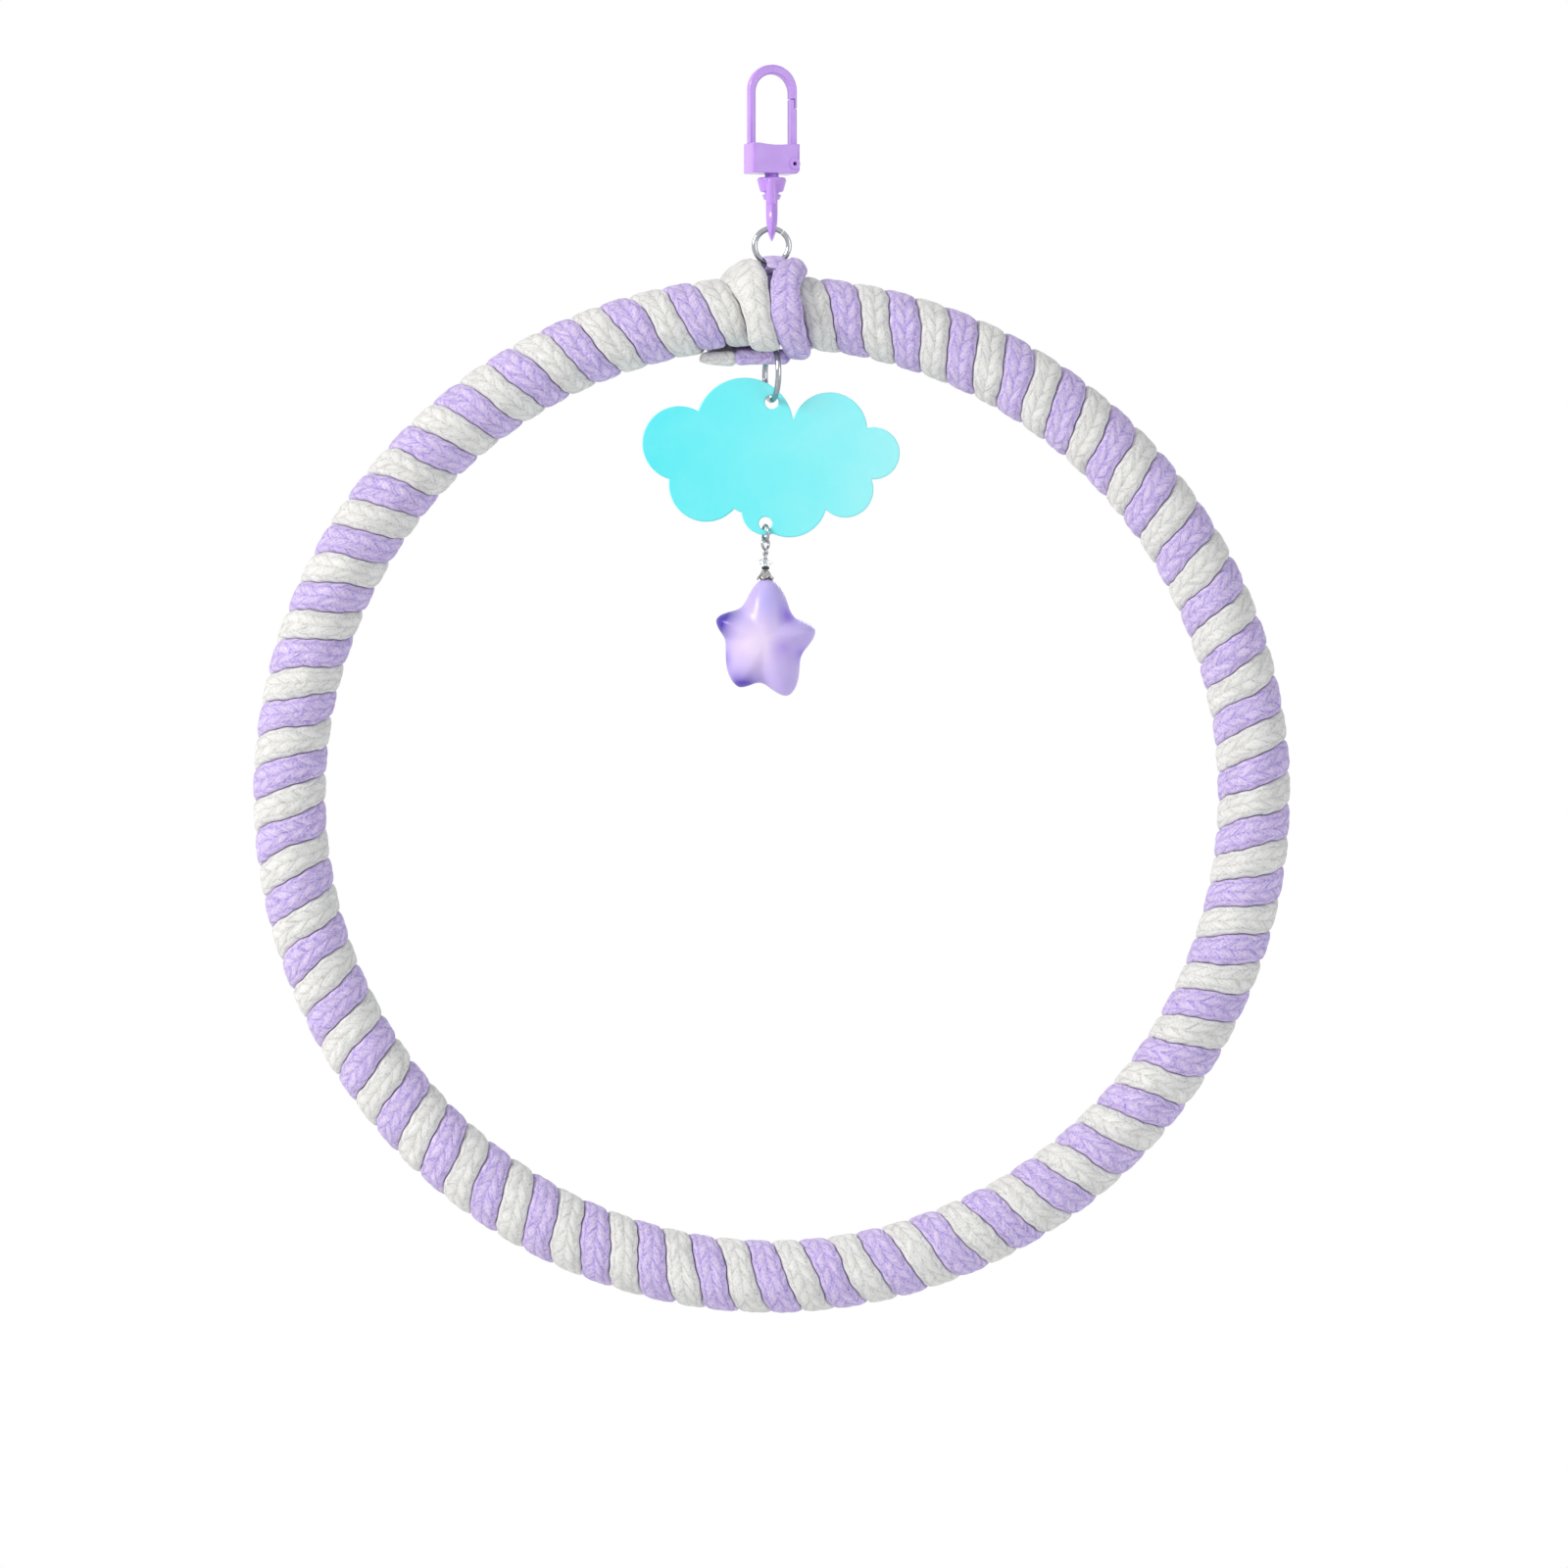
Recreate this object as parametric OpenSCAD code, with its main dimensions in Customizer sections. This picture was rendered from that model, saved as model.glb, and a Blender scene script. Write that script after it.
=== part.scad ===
// Perch swing: a cord-wound hoop that hangs from a swivel clasp, with a cloud
// charm and a star drop inside it. The origin is the centre of the clasp's
// half-round crown, where the hook of a cage bears. +Z is up, -Y is the front.

/* [Clasp] */
// Inside radius of the clasp's half-round crown
bow_r = 3.8; // [3:0.1:5]
// Width of the bow's legs
leg_w = 1.4; // [1.2:0.1:1.8]
// Thickness of the crown at its top
crown_t = 2.0; // [1.5:0.1:2.6]
// Depth of the bow, front to back
bow_depth = 2.0; // [1.6:0.1:2.4]
// Length of the legs from the crown's centre to the block
leg_len = 10.4; // [9:0.1:13]
// Overhang of the block beyond each leg
block_over = 0.05; // [0:0.05:0.8]
// Depth of the block, front to back
block_d = 5.4; // [5.2:0.1:6.5]
// Height of the block
block_h = 6.1; // [6:0.1:7]
// Turn of the clasp about the plumb line
clasp_turn = 22; // [0:1:90]
// Angle to which the gate opens
gate_open = 25; // [15:1:27]

/* [Swivel] */
// Radius of the swivel's neck
neck_r = 1.45; // [1.2:0.05:1.5]
// Radius of the swivel's collar
collar_r = 3.05; // [2.6:0.05:4]
// Height of the collar
collar_h = 3.0; // [2:0.1:4]
// Outer diameter of the swivel's eye
eye_d = 8.8; // [8:0.1:11]
// Thickness of the eye's bar
eye_bar = 2.0; // [1.6:0.1:2.2]

/* [Rings] */
// Outer diameter of the top ring
top_ring_d = 8.2; // [8:0.1:10]
// Wire of the top ring
top_wire = 1.2; // [1:0.05:1.3]
// Outer diameter of the lower ring
low_ring_d = 12; // [11:0.1:14]
// Wire of the lower ring
low_wire = 1.2; // [1:0.05:1.3]
// Outer diameter of the small ring on the cloud
small_ring_d = 4.0; // [3.9:0.05:5]
// Wire of the small ring
small_wire = 0.6; // [0.5:0.02:0.64]

/* [Hoop] */
// Diameter of the steel hoop at the middle of its rod
hoop_d = 196.8; // [180:0.2:220]
// Diameter of the hoop's steel rod
rod_d = 4; // [3:0.1:5]
// Turns of each of the two cords
turns = 50; // [40:1:50]
// Thickness of the wound cord
cord_t = 5.1; // [4:0.1:6]
// Thickness of the two binding turns at the top
bind_t = 3.5; // [3:0.1:4]
// Thickness of the tucked cord tails
tail_d = 2.9; // [2.4:0.1:3.2]

/* [Cloud] */
// Width of the cloud
cloud_w = 53.1; // [45:0.1:65]
// Thickness of the cloud's sheet
cloud_t = 2; // [1.6:0.1:2.2]
// Radius of the cloud's upper hole
cloud_hole_r = 1.4; // [1.3:0.05:1.8]
// Radius of the cloud's lower hole
drop_hole_r = 1.35; // [1.3:0.05:1.7]

/* [Star drop] */
// Width of the star
star_w = 20; // [16:0.1:26]
// Depth of the star, front to back
star_depth = 10; // [8:0.1:14]
// Wire of the star's eye pin
pin_wire = 0.6; // [0.5:0.02:0.64]
// Diameter of the clear bead
crystal_d = 3; // [2.4:0.1:4]
// Height of the clear bead
crystal_h = 1.6; // [1.2:0.1:2.4]
// Diameter of the bead cap
cap_d = 3.5; // [3.2:0.1:5]
// Height of the bead cap
cap_h = 2.1; // [1.8:0.1:3]

/* [Hidden] */
$fn = 64;
large_fn = 180;
lobe_fn = 96;
over = 0.6;

// Clasp: the nose, the gate and its rivet
nose_drop = 1.1;
lip_len = 1.9;
lip_t = 0.45;
gate_gap = 0.1;
rivet_up = 2.0;
rivet_r = 0.7;
rivet_bore_r = 0.4;
rivet_head_r = 1.15;
rivet_head_t = 0.25;
rivet_play = 0.05;
rivet_in = 1.26;
gate_steps = 3;
dish_depth = 0.3;
dish_half_w = 3.5;
block_corner = 0.6;
foot_corner = 0.5;

// Clasp: the spring in its blind hole
spring_drop = 1.6;
spring_hole_r = 0.85;
spring_r = 0.75;
spring_wire = 0.3;
spring_end = 2.0;
spring_play = 0.05;

// Swivel: the head inside the block, the neck, the collar and the step
head_r = 1.95;
head_h = 1.6;
head_play = 0.1;
neck_play = 0.05;
floor_t = 0.9;
neck_show = 0.8;
collar_edge = 0.5;
groove_h = 0.25;
groove_r = 1.3;
step_r = 1.9;
step_h = 1.25;
eye_sink = 0.3;

// Links: how far each one hangs clear of the next
link_play = 0.05;
ring_joint = 0.15;
top_ring_joint_at = 130;
low_ring_joint_at = 60;
small_ring_joint_at = 20;
low_ring_turn = 15;
low_ring_swing = 20;
low_ring_steps = 4;
small_ring_turn = 20;
pin_turn = -35;
pin_loop_d = 2.8;
hoop_swing = 45;
pocket_gap = 0.25;
pocket_extra = 35;
pocket_core_r = 1.05;
slot_gap = 0.25;
ring_sink = 1.05;

// Cord: the lay on the rod, the gap between strands and the free ends
lay_gap = 0.15;
strand_gap = 0.18;
bind_lay = 0.05;
curl_rings = 7;
bind_rings = 24;
tube_sides = 6;
white_end_trim = 51;
lilac_end_trim = 8;
white_bind_start_trim = 34;
lilac_bind_start_trim = 4;
bind_end_trim = 13;
strap_t = 0.85;
strap_half_turn = 40;
tail_lay = 0.35;
tail_right = 2.4;
lilac_tail_len = 9.8;
white_tail_len = 7.2;
tail_joint = 0.1;

// Cloud: lobes as shares of its width, x and z from the upper hole, then the radius
cloud_lobe_shares = [[-0.104, -0.094, 0.188], [0.222, -0.107, 0.145], [0.392, -0.196, 0.1],
    [0.283, -0.335, 0.108], [0.068, -0.373, 0.146], [-0.024, -0.418, 0.092],
    [-0.252, -0.316, 0.143], [-0.354, -0.158, 0.143]];
cloud_middle_shares = [[0.11, -0.21, 0.13], [-0.08, -0.32, 0.11]];
drop_lobe = 5;
bridge_t = 1.0;
hole_drop = 0.42;

// Star: the directions of its tips and notches, and their radii as shares of its width
star_angles = [10, 41, 89, 128, 158, 184, 240, 263, 292, 336];
star_radius_shares = [0.515, 0.375, 0.625, 0.41, 0.54, 0.41, 0.56, 0.45, 0.62, 0.405];
star_top = 2;
tip_power = 0.85;
star_side_steps = 6;
star_rings = 12;
pin_neck = 1.5;
pin_in_star = 8;
pin_play = 0.02;
bead_gap = 0.05;
bead_bore_play = 0.08;
crystal_top_share = 0.45;
spacer_d = 1.6;
spacer_h = 0.75;
cap_neck_r = 0.8;
cap_wall = 0.35;
cap_over_star = 0.5;
cap_petals = 5;
petal_cut_r = 0.42;

// Heights down the plumb line
block_w = 2 * (bow_r + leg_w + block_over);
block_top = -leg_len;
block_foot = block_top - block_h;
rivet_x = bow_r + leg_w - rivet_in;
rivet_z = block_foot + rivet_up;
spring_z = block_top - spring_drop;
collar_top = block_foot - neck_show;
collar_foot = collar_top - collar_h;
step_foot = collar_foot - groove_h - step_h;
eye_mid_r = (eye_d - eye_bar) / 2;
eye_z = step_foot + eye_sink - eye_d / 2;
eye_bar_z = eye_z - eye_mid_r;
top_mid_r = (top_ring_d - top_wire) / 2;
top_ring_z = eye_bar_z + eye_bar / 2 + link_play + top_wire / 2 - top_mid_r;
top_seat_z = top_ring_z - top_mid_r;

// The wound section, measured from the middle of the rod
hoop_r = hoop_d / 2;
cord_mid = (rod_d / 2 + lay_gap) / cos(180 / curl_rings) + cord_t / 2;
wrap_r = cord_mid + cord_t / 2;
bind_mid = (wrap_r + bind_lay) / cos(180 / bind_rings) + bind_t / 2;
bind_r = bind_mid + bind_t / 2;
seat_r = bind_r - ring_sink;
section_z = top_seat_z - seat_r;
hoop_z = section_z - hoop_r;
pair_pitch = 360 / (turns + 1 / 2);
gap_deg = strand_gap / hoop_r * 180 / PI;
strand_half = pair_pitch / 4 - gap_deg / 2;
white_start = 90 + pair_pitch / 2;

// The tails under the hoop and the lower ring that hangs from them
tail_mid = wrap_r + tail_lay + tail_d / 2;
tail_z = section_z - tail_mid;
tail_r = hoop_r - tail_mid;
low_mid_r = (low_ring_d - low_wire) / 2;
low_ring_z = tail_z + tail_d / 2 + link_play + low_wire / 2 - low_mid_r;
low_seat_z = low_ring_z - low_mid_r;

// The cloud and the drop under it
cloud_hole_z = low_seat_z - hole_drop;
drop_x = cloud_lobe_shares[drop_lobe][0] * cloud_w;
cloud_foot = cloud_hole_z
    + (cloud_lobe_shares[drop_lobe][1] - cloud_lobe_shares[drop_lobe][2]) * cloud_w;
bridge_top = cloud_foot + bridge_t;
drop_hole_z = bridge_top + drop_hole_r;
small_mid_r = (small_ring_d - small_wire) / 2;
small_in_r = small_mid_r - small_wire / 2 - link_play;
hole_rise = drop_hole_r - sqrt(pow(drop_hole_r, 2)
    - pow(cloud_t / 2 * tan(small_ring_turn) + small_wire / 2, 2));
small_ring_z = bridge_top + hole_rise
    - sqrt(pow(small_in_r, 2) - pow(cloud_t / 2 / cos(small_ring_turn), 2));
small_seat_z = small_ring_z - small_mid_r;
loop_mid_r = (pin_loop_d - pin_wire) / 2;
loop_z = small_seat_z + (small_wire + pin_wire) / 2 + link_play - loop_mid_r;
crystal_top = loop_z - loop_mid_r - pin_wire / 2 - pin_neck;
spacer_top = crystal_top - crystal_h - bead_gap;
cap_top = spacer_top - spacer_h - bead_gap;
cap_foot = cap_top - cap_h;
star_tip_z = cap_foot + cap_over_star;
star_z = star_tip_z - star_radius_shares[star_top] * star_w;

// Colours
clasp_lilac = [0.78, 0.65, 0.94];
steel = [0.75, 0.76, 0.78];
rod_grey = [0.55, 0.56, 0.58];
cord_white = [0.93, 0.92, 0.9];
cord_lilac = [0.76, 0.69, 0.93];
cloud_blue = [0.49, 0.96, 0.98];
star_lilac = [0.77, 0.7, 0.98];
clear_white = [0.9, 0.97, 0.97, 0.6];
dark = [0.1, 0.12, 0.14];

// A flat outline drawn in X and Z, made a plate that is centred on Y
module plate(depth)
    rotate([90, 0, 0]) translate([0, 0, -depth / 2]) linear_extrude(depth) children();

module turned_clasp() rotate([0, 0, clasp_turn]) children();

// A rectangle with round corners
module round_rect(w, d, r) {
    square([w - 2 * r, d], center = true);
    square([w, d - 2 * r], center = true);
    for (x = [-1, 1], y = [-1, 1])
        translate([x * (w / 2 - r), y * (d / 2 - r)]) circle(r);
}

// A wire ring in the plane of Y and Z, with the small gap of its butt joint at joint_at
module wire_ring(mid_r, wire, joint_at)
    rotate([90, 0, 90])
        rotate([0, 0, joint_at])
            rotate_extrude(angle = 360 - ring_joint / mid_r * 180 / PI)
                translate([mid_r, 0]) circle(wire / 2);

// A tube through rings of points, each ring run the same way round
module swept(rings) {
    n = len(rings[0]);
    last = (len(rings) - 1) * n;
    polyhedron(
        points = [for (ring = rings) each ring],
        faces = concat(
            [for (j = [1:n - 2]) [0, j, j + 1]],
            [for (i = [0:len(rings) - 2], j = [0:n - 1])
                each let(a = i * n + j, b = i * n + (j + 1) % n) [[a, a + n, b + n], [a, b + n, b]]],
            [for (j = [1:n - 2]) [last, last + j + 1, last + j]]
        ),
        convexity = 20
    );
}

// A point of the wound section: along the hoop, round the rod, and out from its middle
function wound_point(along, around, out) =
    let(reach = hoop_r + out * cos(around))
    [reach * cos(along), out * sin(around), hoop_z + reach * sin(along)];

// One ring of a strand that lies round the rod
function strand_ring(along, around, mid, thick) =
    [for (j = [0:tube_sides - 1])
        wound_point(along + strand_half * cos(j * 360 / tube_sides), around,
            mid + thick / 2 * sin(j * 360 / tube_sides) / sin(360 / tube_sides))];

// The rings of a strand that winds from one angle round the rod to another
function strand(first_along, first, end, steps, mid, thick) =
    [for (i = [0:steps])
        let(around = first + (end - first) * i / steps)
        strand_ring(first_along + (around + 180) / 360 * pair_pitch, around, mid, thick)];

function cord(first_along, end_trim) =
    strand(first_along, -180, turns * 360 - 180 - end_trim,
        round((turns * 360 - end_trim) / 360 * curl_rings), cord_mid, cord_t);

function binding(first_along, start_trim) =
    strand(first_along, -180 + start_trim, 180 - bind_end_trim, bind_rings - 2, bind_mid, bind_t);

// The least distance from a cord to its own next turn, and from its first ring to its last
function least_gap(rings) =
    min(concat(
        [for (i = [0:len(rings) - 1 - curl_rings], a = rings[i], b = rings[i + curl_rings])
            norm(a - b)],
        [for (a = rings[0], b = rings[len(rings) - 1]) norm(a - b)]));

white_rings = cord(white_start, white_end_trim);
lilac_rings = cord(white_start + pair_pitch / 2, lilac_end_trim);
echo(white_cord_least_gap_mm = least_gap(white_rings),
     lilac_cord_least_gap_mm = least_gap(lilac_rings));

// The space that the top ring needs in the cord as the hoop swings under it
module top_ring_pocket() {
    sweep = 2 * (hoop_swing + pocket_extra);
    translate([0, 0, top_seat_z]) rotate([0, 90, 0]) {
        cylinder(r = pocket_core_r, h = top_ring_d, center = true);
        rotate([0, 0, 180 - sweep / 2]) rotate_extrude(angle = sweep)
            intersection() {
                difference() {
                    translate([top_mid_r, 0]) circle(top_ring_d / 2 + pocket_gap);
                    translate([top_mid_r, 0]) circle(top_ring_d / 2 - top_wire - pocket_gap);
                }
                translate([0, -top_ring_d]) square([2 * top_ring_d, 2 * top_ring_d]);
            }
    }
}

// The space that the lower ring needs in the cord as it swings on the tail
module low_ring_slot()
    translate([0, 0, tail_z]) rotate([0, 0, low_ring_turn]) rotate([0, 0, 90])
        plate(low_wire + 2 * slot_gap)
            for (i = [-low_ring_steps:low_ring_steps])
                rotate(i / low_ring_steps * low_ring_swing)
                    translate([0, low_ring_z - tail_z]) circle(low_ring_d / 2 + slot_gap);

module bow_outline() {
    difference() {
        union() {
            translate([0, crown_t - leg_w]) circle(bow_r + leg_w);
            translate([-bow_r - leg_w, -leg_len - over])
                square([2 * (bow_r + leg_w), leg_len + over + crown_t - leg_w]);
        }
        circle(bow_r);
        translate([-bow_r, -leg_len - 2 * over]) square([2 * bow_r, leg_len + 2 * over]);
        translate([0, -leg_len - 2 * over])
            square([bow_r + leg_w + over, leg_len + 2 * over - nose_drop]);
    }
}

// The gate's bar and eye, drawn about the rivet
module gate_outline(grow) {
    circle(rivet_in + grow);
    translate([bow_r - rivet_x - grow, 0])
        square([leg_w + 2 * grow, -nose_drop - gate_gap - rivet_z + grow]);
}

module gate_slot()
    plate(bow_depth + 2 * gate_gap)
        translate([rivet_x, rivet_z]) {
            for (i = [0:gate_steps]) rotate(i / gate_steps * gate_open) gate_outline(gate_gap);
            square([rivet_in + over, -nose_drop - rivet_z]);
        }

module block() {
    dish_r = (pow(dish_half_w, 2) + pow(dish_depth, 2)) / (2 * dish_depth);
    difference() {
        translate([0, 0, block_foot]) linear_extrude(block_h)
            round_rect(block_w, block_d, block_corner);
        translate([0, 0, block_top - dish_depth + dish_r]) rotate([90, 0, 0])
            cylinder(r = dish_r, h = block_d + over, center = true, $fn = large_fn);
        translate([block_w / 2, 0, block_foot]) rotate([0, 45, 0])
            cube([2 * foot_corner, block_d + over, 2 * foot_corner], center = true);
    }
}

// The nose's outer lip, which stops the gate
module nose_lip()
    translate([bow_r + leg_w - lip_t, -nose_drop - lip_len])
        square([lip_t, lip_len + nose_drop]);

module clasp_body() color(clasp_lilac) turned_clasp() difference() {
    union() {
        difference() {
            union() {
                plate(bow_depth) bow_outline();
                block();
            }
            gate_slot();
        }
        plate(bow_depth) nose_lip();
    }
    translate([rivet_x, 0, rivet_z]) rotate([90, 0, 0])
        cylinder(r = rivet_r, h = block_d + over, center = true);
    translate([-spring_end, 0, spring_z]) rotate([0, 90, 0])
        cylinder(r = spring_hole_r, h = spring_end + bow_r);
    translate([0, 0, block_foot + floor_t])
        cylinder(r = head_r + head_play, h = head_h + 2 * head_play);
    translate([0, 0, block_foot - over]) cylinder(r = neck_r + neck_play, h = floor_t + 2 * over);
}

module clasp_gate() color(clasp_lilac) turned_clasp() difference() {
    plate(bow_depth) difference() {
        translate([rivet_x, rivet_z]) gate_outline(0);
        translate([bow_r + leg_w - lip_t - gate_gap, -nose_drop - lip_len - gate_gap])
            square([lip_t + gate_gap + over, lip_len + gate_gap + over]);
    }
    translate([rivet_x, 0, rivet_z]) rotate([90, 0, 0])
        cylinder(r = rivet_r + rivet_play, h = bow_depth + over, center = true);
}

module gate_rivet() color(clasp_lilac) turned_clasp()
    translate([rivet_x, 0, rivet_z]) rotate([90, 0, 0]) difference() {
        union() {
            cylinder(r = rivet_r, h = block_d, center = true);
            for (side = [-1, 1]) translate([0, 0, side * (block_d + rivet_head_t) / 2])
                cylinder(r = rivet_head_r, h = rivet_head_t, center = true);
        }
        cylinder(r = rivet_bore_r, h = block_d + 2 * rivet_head_t + over, center = true);
    }

module gate_spring() color(steel) turned_clasp()
    translate([spring_play - spring_end, 0, spring_z]) rotate([0, 90, 0]) difference() {
        cylinder(r = spring_r, h = spring_end + bow_r - 2 * spring_play);
        translate([0, 0, -over])
            cylinder(r = spring_r - spring_wire, h = spring_end + bow_r + 2 * over);
    }

module swivel_eye() color(clasp_lilac) {
    translate([0, 0, block_foot + floor_t + head_play]) cylinder(r = head_r, h = head_h);
    translate([0, 0, step_foot]) cylinder(r = groove_r, h = collar_top - step_foot);
    translate([0, 0, collar_top - over])
        cylinder(r = neck_r, h = neck_show + floor_t + head_play + 2 * over);
    translate([0, 0, collar_foot + collar_edge]) cylinder(r = collar_r, h = collar_h - collar_edge);
    translate([0, 0, collar_foot])
        cylinder(r1 = collar_r - collar_edge, r2 = collar_r, h = collar_edge);
    translate([0, 0, step_foot]) cylinder(r1 = step_r - collar_edge, r2 = step_r, h = step_h);
    translate([0, 0, eye_z]) rotate([90, 0, 90]) rotate_extrude()
        translate([eye_mid_r, 0]) circle(eye_bar / 2);
}

module top_ring() color(steel)
    translate([0, 0, top_ring_z]) rotate([0, 0, 90]) wire_ring(top_mid_r, top_wire, top_ring_joint_at);

module hoop_core() color(rod_grey)
    translate([0, 0, hoop_z]) rotate([90, 0, 0]) rotate_extrude($fn = large_fn)
        translate([hoop_r, 0]) circle(rod_d / 2);

module white_cord() color(cord_white) swept(white_rings);

module lilac_cord() color(cord_lilac) swept(lilac_rings);

module white_binding() color(cord_white) difference() {
    swept(binding(white_start - pair_pitch / 2, white_bind_start_trim));
    top_ring_pocket();
    low_ring_slot();
}

// The binding turn that holds the top ring, with the thin stretch that crosses over its wire
module lilac_binding() color(cord_lilac) {
    difference() {
        swept(binding(white_start - pair_pitch, lilac_bind_start_trim));
        top_ring_pocket();
    }
    ring_eye_r = top_ring_d / 2 - top_wire - link_play;
    strap_foot = seat_r + top_wire / 2 + link_play;
    translate([0, 0, section_z]) rotate([0, 90, 0])
        rotate([0, 0, 180 - strap_half_turn]) rotate_extrude(angle = 2 * strap_half_turn)
            intersection() {
                translate([seat_r + top_mid_r, 0]) circle(ring_eye_r);
                translate([strap_foot - over, -top_ring_d / 2])
                    square([strap_t + over, top_ring_d]);
            }
}

// A cord tail that lies along the inner side of the hoop, from right to left
module tail(from_right, length) {
    start = 90 - from_right / tail_r * 180 / PI;
    span = length / tail_r * 180 / PI;
    translate([0, 0, hoop_z]) rotate([90, 0, 0]) rotate([0, 0, start])
        rotate_extrude(angle = span, $fn = large_fn) translate([tail_r, 0]) circle(tail_d / 2);
}

module lilac_tail() color(cord_lilac) tail(tail_right, lilac_tail_len);

module white_tail() color(cord_white)
    tail(tail_right - lilac_tail_len - tail_joint, white_tail_len);

module lower_ring() color(steel)
    translate([0, 0, low_ring_z]) rotate([0, 0, low_ring_turn])
        wire_ring(low_mid_r, low_wire, low_ring_joint_at);

module cloud_outline()
    for (lobe = concat(cloud_lobe_shares, cloud_middle_shares))
        translate([lobe[0], lobe[1]] * cloud_w) circle(lobe[2] * cloud_w, $fn = lobe_fn);

module cloud() color(cloud_blue)
    plate(cloud_t) difference() {
        translate([0, cloud_hole_z]) cloud_outline();
        translate([0, cloud_hole_z]) circle(cloud_hole_r);
        translate([drop_x, drop_hole_z]) circle(drop_hole_r);
    }

module small_ring() color(steel)
    translate([drop_x, 0, small_ring_z]) rotate([0, 0, small_ring_turn])
        wire_ring(small_mid_r, small_wire, small_ring_joint_at);

module star_pin() color(steel) translate([drop_x, 0, 0]) {
    translate([0, 0, loop_z]) rotate([0, 0, pin_turn]) rotate([90, 0, 90]) rotate_extrude()
        translate([loop_mid_r, 0]) circle(pin_wire / 2);
    translate([0, 0, star_tip_z - pin_in_star])
        cylinder(r = pin_wire / 2, h = loop_z - loop_mid_r - star_tip_z + pin_in_star);
}

module bead_bore(top, height)
    translate([0, 0, top - height - over])
        cylinder(r = pin_wire / 2 + bead_bore_play, h = height + 2 * over);

module crystal_bead() color(clear_white) translate([drop_x, 0, 0]) difference() {
    flat_r = crystal_d * crystal_top_share / 2;
    union() {
        translate([0, 0, crystal_top - crystal_h])
            cylinder(r1 = flat_r, r2 = crystal_d / 2, h = crystal_h / 2);
        translate([0, 0, crystal_top - crystal_h / 2])
            cylinder(r1 = crystal_d / 2, r2 = flat_r, h = crystal_h / 2);
    }
    bead_bore(crystal_top, crystal_h);
}

module spacer_bead() color(dark) translate([drop_x, 0, 0]) difference() {
    translate([0, 0, spacer_top - spacer_h]) cylinder(r = spacer_d / 2, h = spacer_h);
    bead_bore(spacer_top, spacer_h);
}

module bead_cap() color(steel) translate([drop_x, 0, 0]) difference() {
    translate([0, 0, cap_foot]) cylinder(r1 = cap_d / 2, r2 = cap_neck_r, h = cap_h);
    translate([0, 0, cap_foot - over])
        cylinder(r1 = cap_d / 2 - cap_wall + over * (cap_d / 2 - cap_neck_r) / cap_h,
            r2 = cap_neck_r - cap_wall, h = cap_h - cap_wall + over);
    bead_bore(cap_top, cap_h);
    for (i = [1:cap_petals]) translate([0, 0, cap_foot]) rotate([0, 0, i * 360 / cap_petals])
        rotate([0, 90, 0]) cylinder(r = petal_cut_r, h = cap_d);
}

// The star's radius in a direction, eased from each tip to the notch beside it and back
function star_radius(side, t) =
    let(next = (side + 1) % len(star_angles),
        ease = side % 2 == 0 ? (1 - cos(180 * pow(t, tip_power))) / 2
            : 1 - (1 - cos(180 * pow(1 - t, tip_power))) / 2)
    (star_radius_shares[side] * (1 - ease) + star_radius_shares[next] * ease) * star_w;

function star_angle(side, t) =
    let(here = star_angles[side], next = star_angles[(side + 1) % len(star_angles)])
    here + ((next - here + 360) % 360) * t;

// The outline's points, and the rings that carry it over from the front to the back
star_outline = [for (side = [0:len(star_angles) - 1], k = [0:star_side_steps - 1])
    let(t = k / star_side_steps)
        star_radius(side, t) * [cos(star_angle(side, t)), sin(star_angle(side, t))]];

module star_body() {
    n = len(star_outline);
    last = (star_rings - 1) * n;
    points = [
        for (i = [1:star_rings - 1]) let(lift = -90 + i * 180 / star_rings, in = cos(lift))
            for (p = star_outline) [p[0] * in, star_depth / 2 * sin(lift), p[1] * in],
        [0, -star_depth / 2, 0], [0, star_depth / 2, 0]
    ];
    front = (star_rings - 1) * n;
    polyhedron(points = points, faces = concat(
        [for (j = [0:n - 1]) [front, (j + 1) % n, j]],
        [for (i = [0:star_rings - 3], j = [0:n - 1])
            each let(a = i * n + j, b = i * n + (j + 1) % n) [[a, b, b + n], [a, b + n, a + n]]],
        [for (j = [0:n - 1]) [front + 1, last - n + j, last - n + (j + 1) % n]]
    ));
}

module star() color(star_lilac) translate([drop_x, 0, star_z]) difference() {
    star_body();
    translate([0, 0, star_tip_z - star_z - pin_in_star - pin_play])
        cylinder(r = pin_wire / 2 + pin_play, h = pin_in_star + over);
}

clasp_body();
clasp_gate();
gate_rivet();
gate_spring();
swivel_eye();
top_ring();
hoop_core();
white_cord();
lilac_cord();
white_binding();
lilac_binding();
white_tail();
lilac_tail();
lower_ring();
cloud();
small_ring();
star_pin();
crystal_bead();
spacer_bead();
bead_cap();
star();
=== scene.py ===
# %% [markdown]
# Perch swing: a steel hoop wound with two cotton cords
#
# The real swing is a 200 mm steel hoop, wound side by side with an off-white and a lilac
# cotton cord. It hangs from a painted swivel clasp, and a cyan cloud and a lilac star hang
# inside it on small rings. The engineered model gives every rigid part its exact place, so
# this lesson starts from it and adds what makes the swing look real: the braid of the cord,
# the rounded edges of the cast clasp, the cut of the beads and all the finishes.

# %% Load the engineered model
import math

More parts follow.
